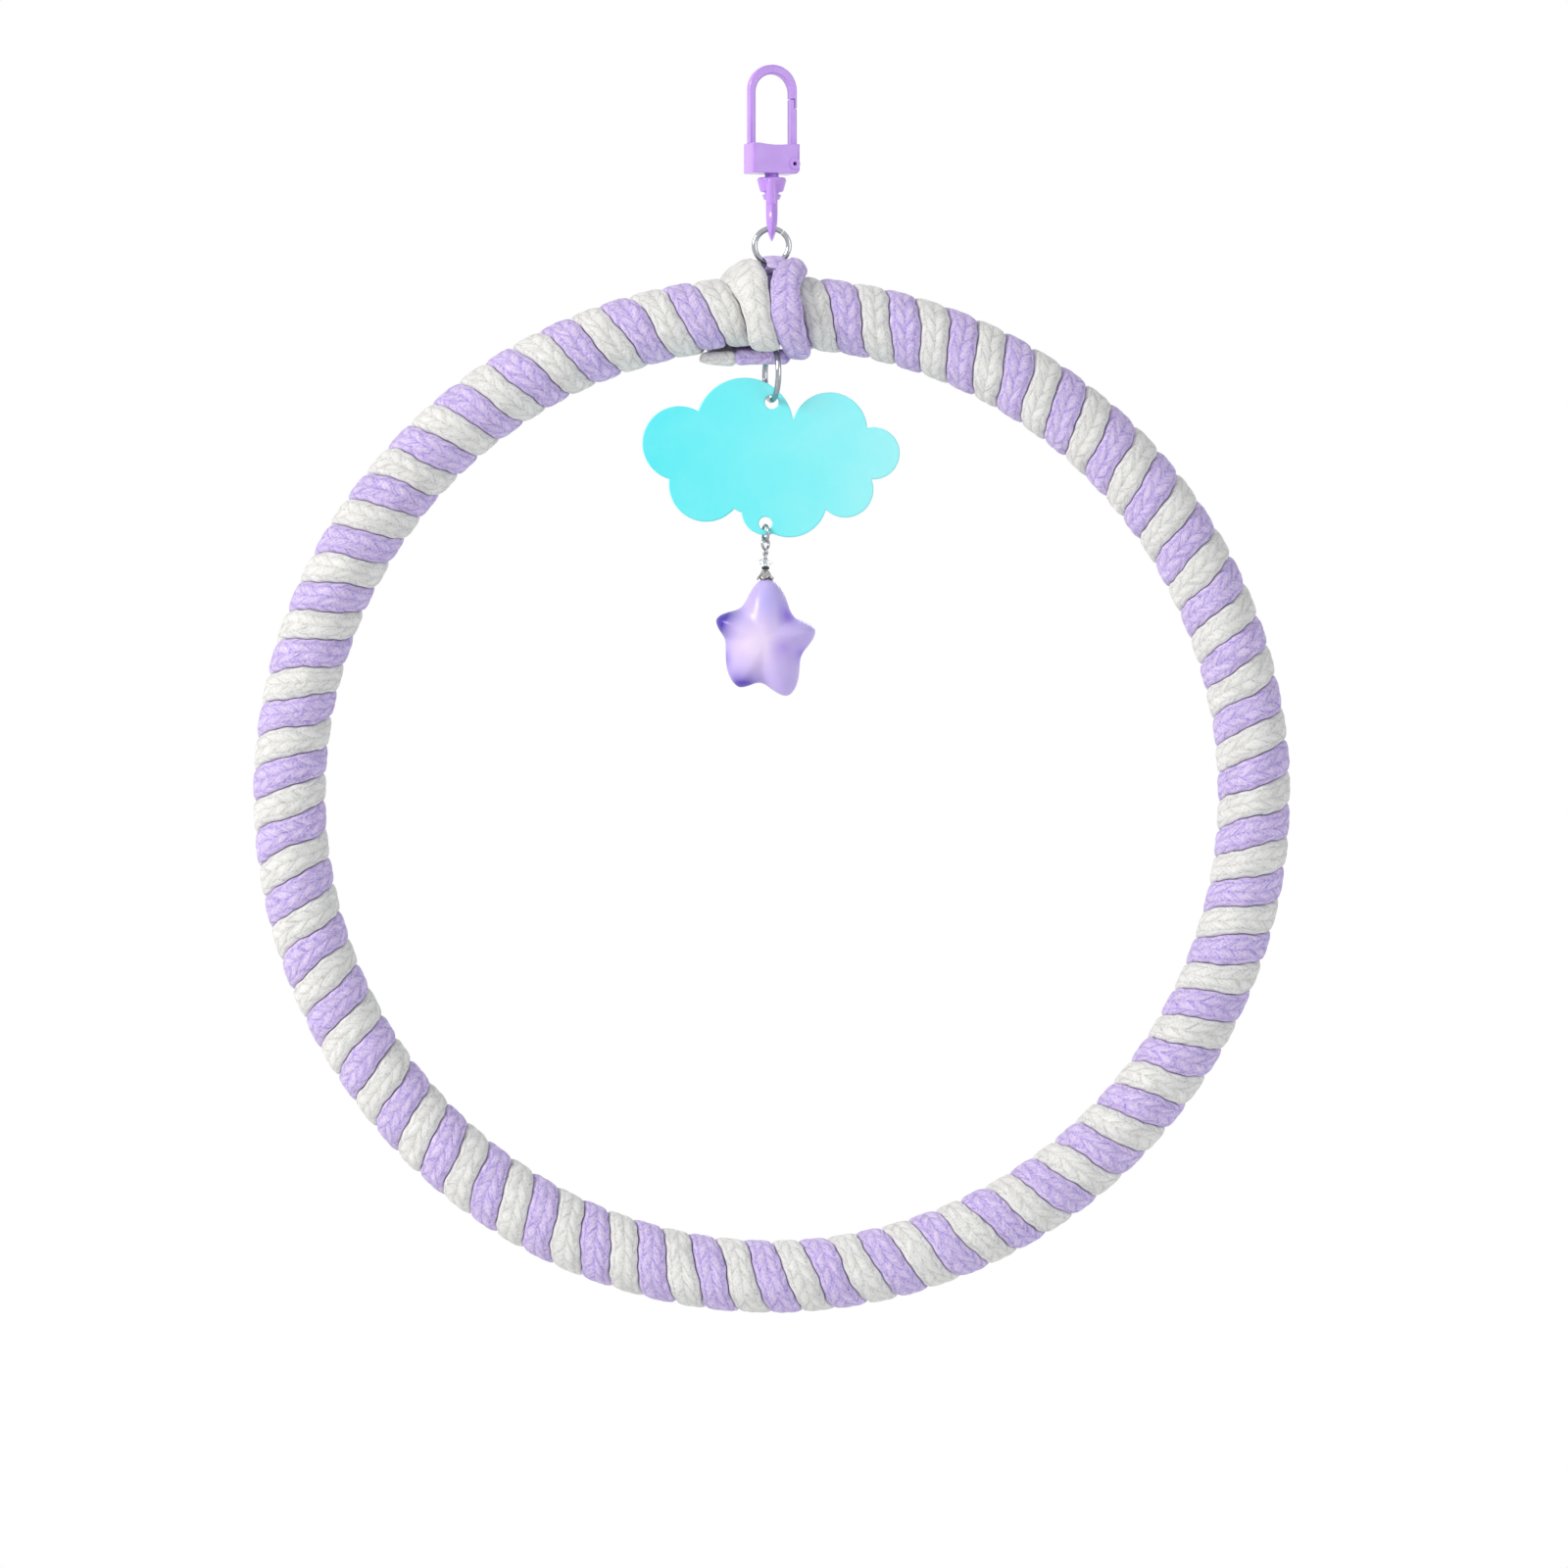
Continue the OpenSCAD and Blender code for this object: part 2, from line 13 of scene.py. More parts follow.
import bmesh
import bpy
import numpy as np
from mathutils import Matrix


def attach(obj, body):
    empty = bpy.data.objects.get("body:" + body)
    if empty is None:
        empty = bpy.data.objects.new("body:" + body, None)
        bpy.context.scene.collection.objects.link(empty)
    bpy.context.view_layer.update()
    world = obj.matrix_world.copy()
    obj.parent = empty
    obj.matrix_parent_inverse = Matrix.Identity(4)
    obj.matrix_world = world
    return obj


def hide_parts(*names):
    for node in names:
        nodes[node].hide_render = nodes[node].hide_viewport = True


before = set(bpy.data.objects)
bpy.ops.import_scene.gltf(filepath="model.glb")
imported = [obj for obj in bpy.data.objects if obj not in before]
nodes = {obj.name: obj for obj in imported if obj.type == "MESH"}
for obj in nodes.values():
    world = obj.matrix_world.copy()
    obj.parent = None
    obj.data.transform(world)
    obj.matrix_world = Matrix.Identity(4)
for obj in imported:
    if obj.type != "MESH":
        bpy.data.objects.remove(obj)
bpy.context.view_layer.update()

# %% [markdown]
# Units and shared measures
#
# All sizes below are millimetres, because that is how a maker thinks about a clasp or a
# cord, and one factor turns them into Blender's metres. They repeat the values of the
# engineered model: the hoop's centre hangs 143 mm under the clasp's crown. The top ring's
# wire rests in the binding turns, a ring sink below their surface, and the two cords leave
# a strand gap between them.

# %% Measures of the swing, in millimetres
MM = 0.001
HOOP_R = 98.4
TURNS = 50
PITCH_DEG = 360 / (TURNS + 0.5)
ROD_R, CORD_THICK, BIND_THICK = 2.0, 5.1, 3.5
TOP_RING_R, TOP_RING_Z = 3.5, -31.15
TOP_SEAT_Z = TOP_RING_Z - TOP_RING_R
RING_SINK = 1.05
STRAND_GAP = 0.06


def winding_mid(form_r, lay_gap, sides, thick):
    """The radius of a cord's middle where it winds on a form of form_r. The engineered cord has
    straight sides, so many a turn, and their middles clear the form by lay_gap: the form and
    the gap over the cosine of half a side's angle, and half the thickness."""
    return (form_r + lay_gap) / math.cos(math.radians(180 / sides)) + thick / 2


CORD_MID = winding_mid(ROD_R, 0.15, 7, CORD_THICK)
WRAP_R = CORD_MID + CORD_THICK / 2
BIND_MID = winding_mid(WRAP_R, 0.05, 24, BIND_THICK)
BIND_R = BIND_MID + BIND_THICK / 2
SECTION_Z = TOP_SEAT_Z - (BIND_R - RING_SINK)
HOOP_Z = SECTION_Z - HOOP_R
STRAND_HALF_DEG = PITCH_DEG / 4 - math.degrees(STRAND_GAP / HOOP_R) / 2
WHITE_START = 90 + PITCH_DEG / 2
LILAC_START = WHITE_START + PITCH_DEG / 2
print("hoop centre at z", round(HOOP_Z, 2), "mm; wound section", round(2 * WRAP_R, 2), "mm thick")
print("one strand is", round(2 * math.radians(STRAND_HALF_DEG) * HOOP_R, 2), "mm wide")

# %% [markdown]
# The camera
#
# The photograph was taken from straight ahead with a long lens, so that left and right
# sides of the hoop look alike. A camera 1.5 m away with a narrow angle gives the same
# flat perspective, and its frame is 320 mm wide at the hoop.

# %% Place the camera
SENSOR_MM, LENS_MM, CAMERA_AWAY = 36, 168.75, 1.5
camera_data = bpy.data.cameras.new("long_lens")
camera_data.sensor_width = SENSOR_MM
camera_data.lens = LENS_MM
camera_data.clip_start = 0.05
camera = bpy.data.objects.new("camera", camera_data)
camera.location = (0.0025, -CAMERA_AWAY, -0.141)
camera.rotation_euler = (math.radians(90), 0, 0)
bpy.context.scene.collection.objects.link(camera)
bpy.context.scene.camera = camera
print("camera sees", round(SENSOR_MM / LENS_MM * CAMERA_AWAY / MM), "mm across the hoop")

# %% [markdown]
# Making a surface from arrays
#
# Nearly every new piece is one idea: a closed profile that travels along a path, or around
# an axis. Both give a grid of points, rows along the path and columns around the profile.
# One helper turns such a grid into a closed mesh, so each piece only has to say where its
# points are.

# %% Angles, shading and faces between the points of a grid
def circle_angles(count):
    """Evenly spaced angles once round, in radians, without the last one, which is the first."""
    return np.linspace(0, 2 * np.pi, count, endpoint=False)


def shade(mesh, smooth=True):
    """Smooth or flat shading on all the faces of a mesh."""
    mesh.polygons.foreach_set("use_smooth", np.full(len(mesh.polygons), smooth))


def grid_quads(rows, cols, loop=False):
    """The corner numbers of the faces between a grid's rows. A face goes from a point to the one
    beside it, on to the next row and back; the columns close, and the rows if loop is true."""
    here = np.arange(rows if loop else rows - 1)[:, None] * cols
    ahead = (here + cols) % (rows * cols)
    side = np.arange(cols)[None, :]
    beside = (side + 1) % cols
    return np.stack([here + side, here + beside, ahead + beside, ahead + side], -1).reshape(-1, 4)


# %% A closed tube through a grid of points
def tube_mesh(name, grid, loop=False, uv=None):
    """A mesh through a grid of points (rows along, columns around), in millimetres.
    Columns always close on themselves. Rows close too if loop is true; otherwise the first
    and last rows shrink to a point that is their mean, which closes the ends. The sum of
    corner . (edge x edge) over the faces is negative when they look inwards: then they turn."""
    rows, cols = grid.shape[:2]
    points = grid.reshape(-1, 3)
    quads = grid_quads(rows, cols, loop)
    faces = [quads]
    if not loop:
        first, last = len(points), len(points) + 1
        points = np.vstack([points, grid[0].mean(0), grid[-1].mean(0)])
        fan = np.arange(cols)
        beside, far = (fan + 1) % cols, (rows - 1) * cols
        faces.append(np.stack([np.full(cols, first), beside, fan], -1))
        faces.append(np.stack([np.full(cols, last), far + fan, far + beside], -1))
    corners = points[quads]
    inside = np.einsum("ij,ij->i", corners[:, 0] - points.mean(0),
                       np.cross(corners[:, 1] - corners[:, 0], corners[:, 2] - corners[:, 0])).sum()
    if inside < 0:
        faces = [block[:, ::-1] for block in faces]
    mesh = bpy.data.meshes.new(name)
    mesh.from_pydata((points * MM).tolist(), [], [f for block in faces for f in block.tolist()])
    shade(mesh)
    if uv is not None:
        write_uv(mesh, uv)
    mesh.update()
    return mesh


# %% A map that runs along the cord
def write_uv(mesh, uv):
    """Gives the mesh a UV map from a grid of (across, along) values in millimetres. A face at
    the seam takes the value one full turn on, so the pattern doesn't run back there."""
    vertex = np.zeros(len(mesh.loops), np.int64)
    mesh.loops.foreach_get("vertex_index", vertex)
    flat = np.vstack([uv.reshape(-1, 2), uv[0].mean(0), uv[-1].mean(0)])[vertex]
    width = uv[0, -1, 0] + (uv[0, -1, 0] - uv[0, -2, 0])
    starts = np.zeros(len(mesh.polygons), np.int64)
    totals = np.zeros(len(mesh.polygons), np.int64)
    mesh.polygons.foreach_get("loop_start", starts)
    mesh.polygons.foreach_get("loop_total", totals)
    highest = np.maximum.reduceat(flat[:, 0], starts)
    face = np.repeat(np.arange(len(starts)), totals)
    wraps = (highest[face] - flat[:, 0]) > width / 2
    flat[wraps, 0] += width
    layer = mesh.uv_layers.new(name="along_cord")
    layer.data.foreach_set("uv", flat.astype(np.float32).ravel())


# %% Put a finished piece in the scene
def place(mesh, body, slot, *replaced):
    """Puts a finished mesh in the scene, riding on a body and standing for CAD nodes."""
    piece = bpy.data.objects.new(mesh.name, mesh)
    bpy.context.scene.collection.objects.link(piece)
    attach(piece, body)
    if replaced:
        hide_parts(*replaced)
    print(piece.name, len(mesh.polygons), "faces, rides on", body)
    return piece


# %% [markdown]
# How the cord lies
#
# Each cord winds round the rod like the thread of a screw, and the rod itself is bent to a
# circle. Three numbers give any point of that wound section: how far along the hoop, how
# far around the rod, and how far out from the rod's middle. The two cords share one turn
# of the screw, half each, which is what makes the stripes.

# %% Points in the wound section, and a gentle random wave
NOISE_VALUES = 4096


def wound_point(along, around, out):
    """The point at angle along on the hoop, at angle around the rod, out from its middle:
    reach = hoop radius + out cos(around); x = reach cos(along), y = out sin(around),
    z = hoop centre + reach sin(along). Angles in degrees."""
    a, b = np.radians(along), np.radians(around)
    reach = HOOP_R + out * np.cos(b)
    return np.stack([reach * np.cos(a), out * np.sin(b) + 0 * a, HOOP_Z + reach * np.sin(a)], -1)


def smooth_noise(x, seed, step):
    """A gentle random wave of x, between -1 and 1: seeded random values a step apart, joined
    by a cosine ease."""
    table = np.random.default_rng(seed).uniform(-1, 1, NOISE_VALUES)
    steps = x / step
    low = np.floor(steps).astype(np.int64)
    ease = (1 - np.cos(np.pi * (steps - low))) / 2
    return table[low % NOISE_VALUES] * (1 - ease) + table[(low + 1) % NOISE_VALUES] * ease


turn_length = math.hypot(2 * math.pi * CORD_MID, math.radians(PITCH_DEG) * HOOP_R)
print("a turn of cord is", round(turn_length, 1), "mm long")

# %% [markdown]
# The braid of the cord
#
# Craft cord is a soft round braid. Its face is columns of stitches that lean left and right
# by turns. Wound tight against its neighbours the cord is pressed from a circle into a
# rounded box. So the profile is a rounded box, raised a little in the middle of each stitch,
# and slightly uneven, because cotton is never quite even. The whole winding also wanders a
# little sideways, and both cords take the same wander, so that neither runs into the other.

# %% The shape of a stitch and of the pressed cord
STITCH_W, STITCH_L = 1.9, 2.8
RELIEF = 0.04
PROFILE_POINTS = 32
WOUND_STEP, BINDING_STEP, TAIL_STEP = 0.62, 0.4, 0.22
WOUND_END, TAIL_END = 2.2, 1.5
WANDER_WAVES = ((0.2, 2, 31, 0.7), (0.13, 5, -47, 2.1), (0.09, 9, 83, 0.0))


def winding_wander(along, around):
    """A slow sideways shift of the winding in millimetres: three sine waves of the angle along
    the hoop and of whole multiples of the angle around the rod, so they close at each turn.
    Each wave is its size, its waves around, its waves along and where it starts."""
    a, b = np.radians(along), np.radians(around)
    return sum(size * np.sin(m * b + n * a + start) for size, m, n, start in WANDER_WAVES)


def braid_height(u, v):
    """The braid's height, from 0 to 1, at u around and v along the cord in millimetres: the
    square root of cos(pi x) cos(pi y), where x and y run from -1/2 to 1/2 across the column
    and along the stitch, and y leans with x to the left and right by turns."""
    column = np.floor(u / STITCH_W)
    lean = 1 - 2 * (column % 2)
    x = u / STITCH_W - column - 0.5
    y = v / STITCH_L + lean * (0.7 * x + 0.25)
    y = y - np.floor(y) - 0.5
    return np.sqrt(np.clip(np.cos(np.pi * x) * np.cos(np.pi * y), 0, 1))


def pressed_cord(angle, powers):
    """A box with soft corners, from -1 to 1 both ways: the cosine of the angle to the first
    power across and its sine to the second power outwards. Powers of 1 give a circle."""
    cos, sin = np.cos(angle - np.pi / 2), np.sin(angle - np.pi / 2)
    return np.sign(cos) * np.abs(cos) ** powers[0], np.sign(sin) * np.abs(sin) ** powers[1]


def even_angles(count, powers):
    """Angles whose points lie evenly along the pressed cord's edge, by adding up its length."""
    fine = np.linspace(0, 2 * np.pi, 7201)
    across, outwards = pressed_cord(fine, powers)
    run = np.concatenate([[0], np.cumsum(np.hypot(1.2 * np.diff(across), np.diff(outwards)))])
    return np.interp(np.arange(count) / count * run[-1], run, fine)


# %% The profile of a braided cord at every length along it
def closing_quarter(near):
    """The size of a profile near a closed end: a quarter circle, sqrt(1 - (1 - near)^2), where
    near is the distance from the end over the length that closes."""
    return np.sqrt(1 - (1 - np.clip(near, 0.02, 1)) ** 2)


def stitch_columns(thick):
    """How many columns of stitches go round a cord. It is even, so that the lean closes."""
    return 2 * round(math.pi * (thick / 2 + 0.4) / STITCH_W)


def braided_profile(length_at, seed, ends, columns, powers=(0.42, 0.5)):
    """Offsets (across, outwards) from the cord's middle, each from -1 to 1, for every length
    along the cord, and the map (u, v) of the braid. The pressed cord's box times
    1 - relief (1 - braid height), times a slow swell that takes up to 3 percent off, plus a
    grain of 1.6 percent. Two random waves slide the stitches along by up to 0.6 and 0.35 mm.
    At the two ends the profile closes in a quarter circle of the length ends."""
    theta = even_angles(PROFILE_POINTS, powers)[None, :]
    length = length_at[:, None]
    u = np.arange(PROFILE_POINTS)[None, :] / PROFILE_POINTS * columns * STITCH_W + 0 * length
    v = length + 0.6 * smooth_noise(length, seed, 14)
    v = v + 0.35 * smooth_noise(length + 9.7 * theta, seed + 4, 5)
    grain = smooth_noise(length + 4.1 * theta, seed + 1, 1.1) * 0.016
    swell = 1 - 0.015 * (1 + smooth_noise(length, seed + 2, 9))
    size = swell * (1 - RELIEF * (1 - braid_height(u, v))) + grain
    closing = closing_quarter(np.minimum(length, length_at[-1] - length) / ends)
    box = pressed_cord(theta, powers)
    across, outwards = box[0] * (0.43 + 0.6 * size) * closing, box[1] * size * closing
    return across, outwards, np.stack([u, v], -1)


# %% Wind a braided cord round the rod
def wound_strand(name, first_along, first, last, mid, thick, seed, spacing=WOUND_STEP, lay=None,
                 reshape=None):
    """A braided cord round the rod, from one angle around it to another. The middle of the
    cord moves on by one pitch along the hoop for each turn; the profile is set off from it,
    across along the hoop and outwards from the rod. Where lay is given, it turns the angle
    around and the profile into a sideways shift in millimetres, a share of the thickness and
    how far the surface sinks. Where reshape is given, it moves the finished points."""
    per_deg = math.hypot(math.radians(1) * mid, math.radians(PITCH_DEG / 360) * HOOP_R)
    count = int((last - first) * per_deg / spacing)
    around = np.linspace(first, last, count)
    length = (around - first) * per_deg
    across, outwards, uv = braided_profile(length, seed, WOUND_END, stitch_columns(thick))
    along = first_along + (around[:, None] + 180) / 360 * PITCH_DEG + STRAND_HALF_DEG * across
    out = mid + thick / 2 * outwards
    if lay is not None:
        shift, share, sinking = lay(around[:, None], across)
        along = along + np.degrees(shift / HOOP_R)
        out = mid - thick / 2 + thick / 2 * (1 + outwards) * share - sinking
    along = along + np.degrees(winding_wander(along, around[:, None]) / HOOP_R)
    grid = wound_point(along, around[:, None] + 0 * along, out)
    if reshape is not None:
        grid = reshape(grid)
    return tube_mesh(name, grid, uv=uv)


print("the wound cord has", stitch_columns(CORD_THICK), "columns of stitches round it")

# %% [markdown]
# The two wound cords
#
# The off-white cord starts half a pitch before the lilac one. Both begin and end at the top
# of the hoop, on the inner side, where the lower ring needs its room, so their last turns
# stop short by 51 and 8 degrees.

# %% Wind the two cords
FULL_TURNS = TURNS * 360 - 180
white_mesh = wound_strand("white_cord_braid", WHITE_START, -180, FULL_TURNS - 51, CORD_MID,
                          CORD_THICK, 11)
lilac_mesh = wound_strand("lilac_cord_braid", LILAC_START, -180, FULL_TURNS - 8, CORD_MID,
                          CORD_THICK, 29)
white_cord = place(white_mesh, "hoop", "white_cotton", "white_cord")
lilac_cord = place(lilac_mesh, "hoop", "lilac_cotton", "lilac_cord")

# %% [markdown]
# The binding turns over the top
#
# Where the swing hangs, one extra turn of each cord is bound over the winding. The top
# ring is threaded on the lilac turn, so the cord is squeezed to a narrow strap where it
# passes through the ring, and the cord beside it has to leave room for the ring's wire.
# The room is a swept ring: wherever a point of the cord lies in it, the point sinks towards
# the rod until it is clear. That dents the cord the way a real ring does.

# %% The room that the two rings need in the cord
# The pocket is the top ring's sweep with a core round its seat, the slot the lower ring's disc.
TAIL_D = 2.9
TAIL_MID = WRAP_R + 0.35 + TAIL_D / 2
TAIL_Z = SECTION_Z - TAIL_MID
TAIL_R = HOOP_R - TAIL_MID
POCKET_TILT_DEG = 80
POCKET_INNER_R, POCKET_OUTER_R = 2.6, 4.45
CORE_R, CORE_HALF = 1.1, 4.2
SLOT_TURN_DEG, SLOT_SWING_DEG = 15, 20
SLOT_R, SLOT_HALF = 6.2, 0.8
SLOT_DROP = 3.3


def in_top_pocket(p):
    """True where a point is in the space of the top ring as the hoop swings 45 degrees: a core
    round the wire at the seat, or the ring's own annulus at any angle within 80 degrees."""
    y, z = p[..., 1], p[..., 2] - TOP_SEAT_Z
    lift = np.hypot(y, z)
    tilt = np.degrees(np.arctan2(y, z))
    from_middle = np.hypot(p[..., 0], lift - TOP_RING_R)
    in_annulus = (from_middle > POCKET_INNER_R) & (from_middle < POCKET_OUTER_R)
    core = (lift < CORE_R) & (np.abs(p[..., 0]) < CORE_HALF)
    return core | ((np.abs(tilt) < POCKET_TILT_DEG) & in_annulus)


def in_low_slot(p):
    """True where a point is in the space of the lower ring: a disc of the ring's size, 1.6 mm
    thick, that stands turned by 15 degrees and swings 20 degrees each way about the tail."""
    turn = math.radians(SLOT_TURN_DEG)
    side = p[..., 0] * math.cos(turn) + p[..., 1] * math.sin(turn)
    front = -p[..., 0] * math.sin(turn) + p[..., 1] * math.cos(turn)
    inside = np.zeros(p.shape[:-1], bool)
    for swing in np.radians(np.linspace(-SLOT_SWING_DEG, SLOT_SWING_DEG, 9)):
        middle = (-SLOT_DROP * math.sin(swing), TAIL_Z - SLOT_DROP * math.cos(swing))
        inside |= np.hypot(front - middle[0], p[..., 2] - middle[1]) < SLOT_R
    return inside & (np.abs(side) < SLOT_HALF)


# %% Press the cord out of the rings' room
def sink(grid, taken, step=0.05, most=90):
    """Moves the points that are in taken space towards the rod's middle, a step at a time,
    until they are clear of it."""
    grid = grid.copy()
    flat = np.hypot(grid[..., 0], grid[..., 2] - HOOP_Z)
    middle = grid.copy()
    middle[..., 0] *= HOOP_R / flat
    middle[..., 1] = 0
    middle[..., 2] = HOOP_Z + (grid[..., 2] - HOOP_Z) * HOOP_R / flat
    inward = middle - grid
    inward /= np.linalg.norm(inward, axis=-1, keepdims=True)
    for _ in range(most):
        inside = taken(grid)
        if not inside.any():
            break
        grid[inside] += inward[inside] * step
    return grid


def clear_of_rings(grid):
    """The points, moved out of the room of both rings."""
    return sink(sink(grid, in_top_pocket), in_low_slot)


print("tails lie at z", round(TAIL_Z, 2), "mm, the top ring's wire at", round(TOP_SEAT_Z, 2), "mm")

# %% [markdown]
# Each binding turn is the same braided cord on a larger radius. The strap over the ring's
# wire is a short piece of the lilac turn: a flat tube that follows the turn, no wider than
# the ring's inside.

# %% How the binding turns lie
def inner_side(around):
    """0 over the top and down to 100 degrees around the rod, 1 from 160 degrees on."""
    return np.clip((np.abs(around) - 100) / 60, 0, 1)


def white_lay(around, across):
    """Over the top the white turn leans a little to the right and its left flank slopes down
    into the winding; on the inner side it is pulled flat. The weight of the top is
    exp(-(around / 70)^2). Gives the shift, the share of the thickness and the sinking."""
    over = np.exp(-(around / 70) ** 2)
    left = np.clip((across + 0.15) / 1.15, 0, 1)
    shift = (1.5 * np.clip(across, 0, 1) + 0.5 * np.clip(-across, 0, 1) - 0.9) * over
    sinking = 2.0 * np.exp(-(around / 95) ** 2) * left ** 2
    return shift, (1 - 0.55 * over * left ** 1.2) * (1 - 0.3 * inner_side(around)), sinking


def lilac_lay(around, across):
    """Over the top the lilac turn swings to the right, off the ring, into a lump. Its left
    corner is rounded by taking 24 percent of across^3 off its thickness, and its right side
    slopes down into the winding by half of across^2. On the inner side both corners lose 45
    percent."""
    over = np.exp(-((around + 4) / 48) ** 2)
    wide = np.exp(-((around + 30) / 45) ** 2)
    inner = inner_side(around)
    left, right = np.clip(across, 0, 1), np.clip(-across, 0, 1)
    rounding = over * (0.24 * left ** 3 + 0.5 * right ** 2) + 0.45 * inner * np.abs(across) ** 3
    share = (1 + 0.06 * over) * (1 - 0.3 * inner) * (1 - rounding)
    return -3.5 * over + 0.3 * wide * np.abs(across), share, 0 * across


# %% A strap over the ring's wire
STRAP_HALF_DEG, STRAP_DIP_DEG = 39, 26
STRAP_OUT, STRAP_ARC_R = 11.12, 11.1
STRAP_HALF_W, STRAP_HALF_T = 1.95, 0.4


def strap_over_ring(name):
    """A flat tube over the ring's wire, 3.9 mm wide and 0.8 mm thick, narrow enough to stay
    inside the ring. It runs 39 degrees each way around the rod. Over its last 13 degrees the
    dip goes from 0 to 1, and it widens by half a millimetre and sinks into the binding turn."""
    around = np.linspace(-STRAP_HALF_DEG, STRAP_HALF_DEG, 60)[:, None]
    theta = circle_angles(24)[None, :]
    length = around * math.radians(STRAP_ARC_R)
    ends = STRAP_HALF_DEG - STRAP_DIP_DEG
    dip = np.clip((np.abs(around) - STRAP_DIP_DEG) / ends, 0, 1) ** 2
    uv = np.stack([theta / (2 * np.pi) * 4 * STITCH_W + 0 * around, length + 0 * theta], -1)
    closing = closing_quarter((STRAP_HALF_DEG - np.abs(around)) / 5)
    lobes = (1 - RELIEF * (1 - braid_height(uv[..., 0], uv[..., 1]))) * closing
    across = (STRAP_HALF_W + 0.5 * dip) * np.cos(theta) * lobes
    out = STRAP_OUT - 0.35 * dip + STRAP_HALF_T * np.sin(theta) * lobes
    along = 90 + around / 360 * PITCH_DEG + np.degrees(across / HOOP_R)
    return tube_mesh(name, wound_point(along, around + 0 * along, out), uv=uv)


# %% Bind the top
white_turn = wound_strand("white_binding_braid", 90, -152, 167, BIND_MID, BIND_THICK, 43,
                          BINDING_STEP, white_lay, clear_of_rings)
lilac_turn = wound_strand("lilac_binding_braid", 90 - PITCH_DEG / 2, -176, 167, BIND_MID,
                          BIND_THICK, 57, BINDING_STEP, lilac_lay, clear_of_rings)
white_binding = place(white_turn, "hoop", "white_cotton", "white_binding")
lilac_binding = place(lilac_turn, "hoop", "lilac_cotton", "lilac_binding")
lilac_strap = place(strap_over_ring("lilac_strap_over_ring"), "hoop", "lilac_cotton")

# %% [markdown]
# The tucked ends
#
# Both cords end on the inner side of the hoop, where a short stretch of each shows under
# the winding. The lower ring hangs on the lilac one. A tail is the same braided profile
# carried along an arc of the hoop, a little inside it.

# %% Lay the tails along the inside of the hoop
LILAC_TAIL_RIGHT, WHITE_TAIL_RIGHT = 3.8, -7.1


def tail_strand(name, right_mm, length_mm, seed, last_size):
    """A braided cord along the hoop's inner side, from right_mm right of the top, leftwards.
    The middle runs on a circle of the tail's radius; the profile is set off from it, up and
    down in the hoop's plane and to the front and back. Its lower side tapers to last_size, and
    its end rises by the length's share squared times 0.9 (1 - last_size), into the winding."""
    length = np.linspace(0, length_mm, int(length_mm / TAIL_STEP))
    across, outwards, uv = braided_profile(length, seed, TAIL_END, 4, (0.75, 0.8))
    angle = np.radians(90 - math.degrees(right_mm / TAIL_R)) + length[:, None] / TAIL_R
    share = length[:, None] / length_mm
    taper = 1 - (1 - last_size) * share ** 1.5
    lift = np.where(outwards < 0, taper, 1.25)
    reach = TAIL_R + TAIL_D / 2 * outwards * lift + 0.9 * (1 - last_size) * share ** 2
    x, z = reach * np.cos(angle), HOOP_Z + reach * np.sin(angle)
    return tube_mesh(name, np.stack([x, TAIL_D / 2 * across, z], -1), uv=uv)


lilac_tail = place(tail_strand("lilac_tail_braid", LILAC_TAIL_RIGHT, 11.6, 71, 0.95),
                   "hoop", "lilac_cotton", "lilac_tail")
white_tail = place(tail_strand("white_tail_braid", WHITE_TAIL_RIGHT, 7.6, 83, 0.35),
                   "hoop", "white_cotton", "white_tail")

# %% [markdown]
# Rounded edges on cast metal
#
# The clasp is a zinc casting, tumbled smooth and painted, so no edge on it is sharp. The
# engineered solids have the right faces and holes but knife edges. A copy of each mesh,
# welded and cleaned of its flat triangles, takes a bevel on every real corner. The bow is
# rounder than the block: its outline gets a share of 1, and the other edges less.

# %% Copy a solid and round its edges
# Points within 2 micrometres are one point, and faces within 0.6 degrees are one face.
WELD = 2e-6
FLAT_DEG = 0.6
CORNER_DEG = 28


def rounded_copy(node, name, width_mm, body, slot, share=lambda points: 1.0):
    """A welded copy of a CAD node's mesh with a bevel of the given width on each outer edge
    whose faces meet at a real corner, less by share(two points of the edge, in mm)."""
    mesh = nodes[node].data.copy()
    mesh.name = name
    work = bmesh.new()
    work.from_mesh(mesh)
    bmesh.ops.remove_doubles(work, verts=work.verts, dist=WELD)
    bmesh.ops.dissolve_limit(work, angle_limit=math.radians(FLAT_DEG), verts=work.verts,
                             edges=work.edges)
    weight = work.edges.layers.float.new("bevel_weight_edge")
    for edge in work.edges:
        if edge.is_convex and edge.calc_face_angle(0) > math.radians(CORNER_DEG):
            edge[weight] = share(np.array([list(v.co) for v in edge.verts]) / MM)
    work.to_mesh(mesh)
    work.free()
    shade(mesh)
    mesh.set_sharp_from_angle(angle=math.radians(CORNER_DEG))
    mesh.materials.clear()
    piece = place(mesh, body, slot, node)
    bevel = piece.modifiers.new("rounded_edges", "BEVEL")
    bevel.width = width_mm * MM
    bevel.segments = 3
    bevel.limit_method = "WEIGHT"
    bevel.use_clamp_overlap = False
    bevel.harden_normals = True
    return piece


# %% Round the clasp, its gate and its rivet
CLASP_BACK = np.array([-0.3746, 0.9272, 0])
CLASP_RIGHT = np.array([0.9272, 0.3746, 0])
PLAIN_SHARE = 0.36
BLOCK_TOP_Z = -10
BOW_Z = 0.6
FULL_SHARE_DEG = 75


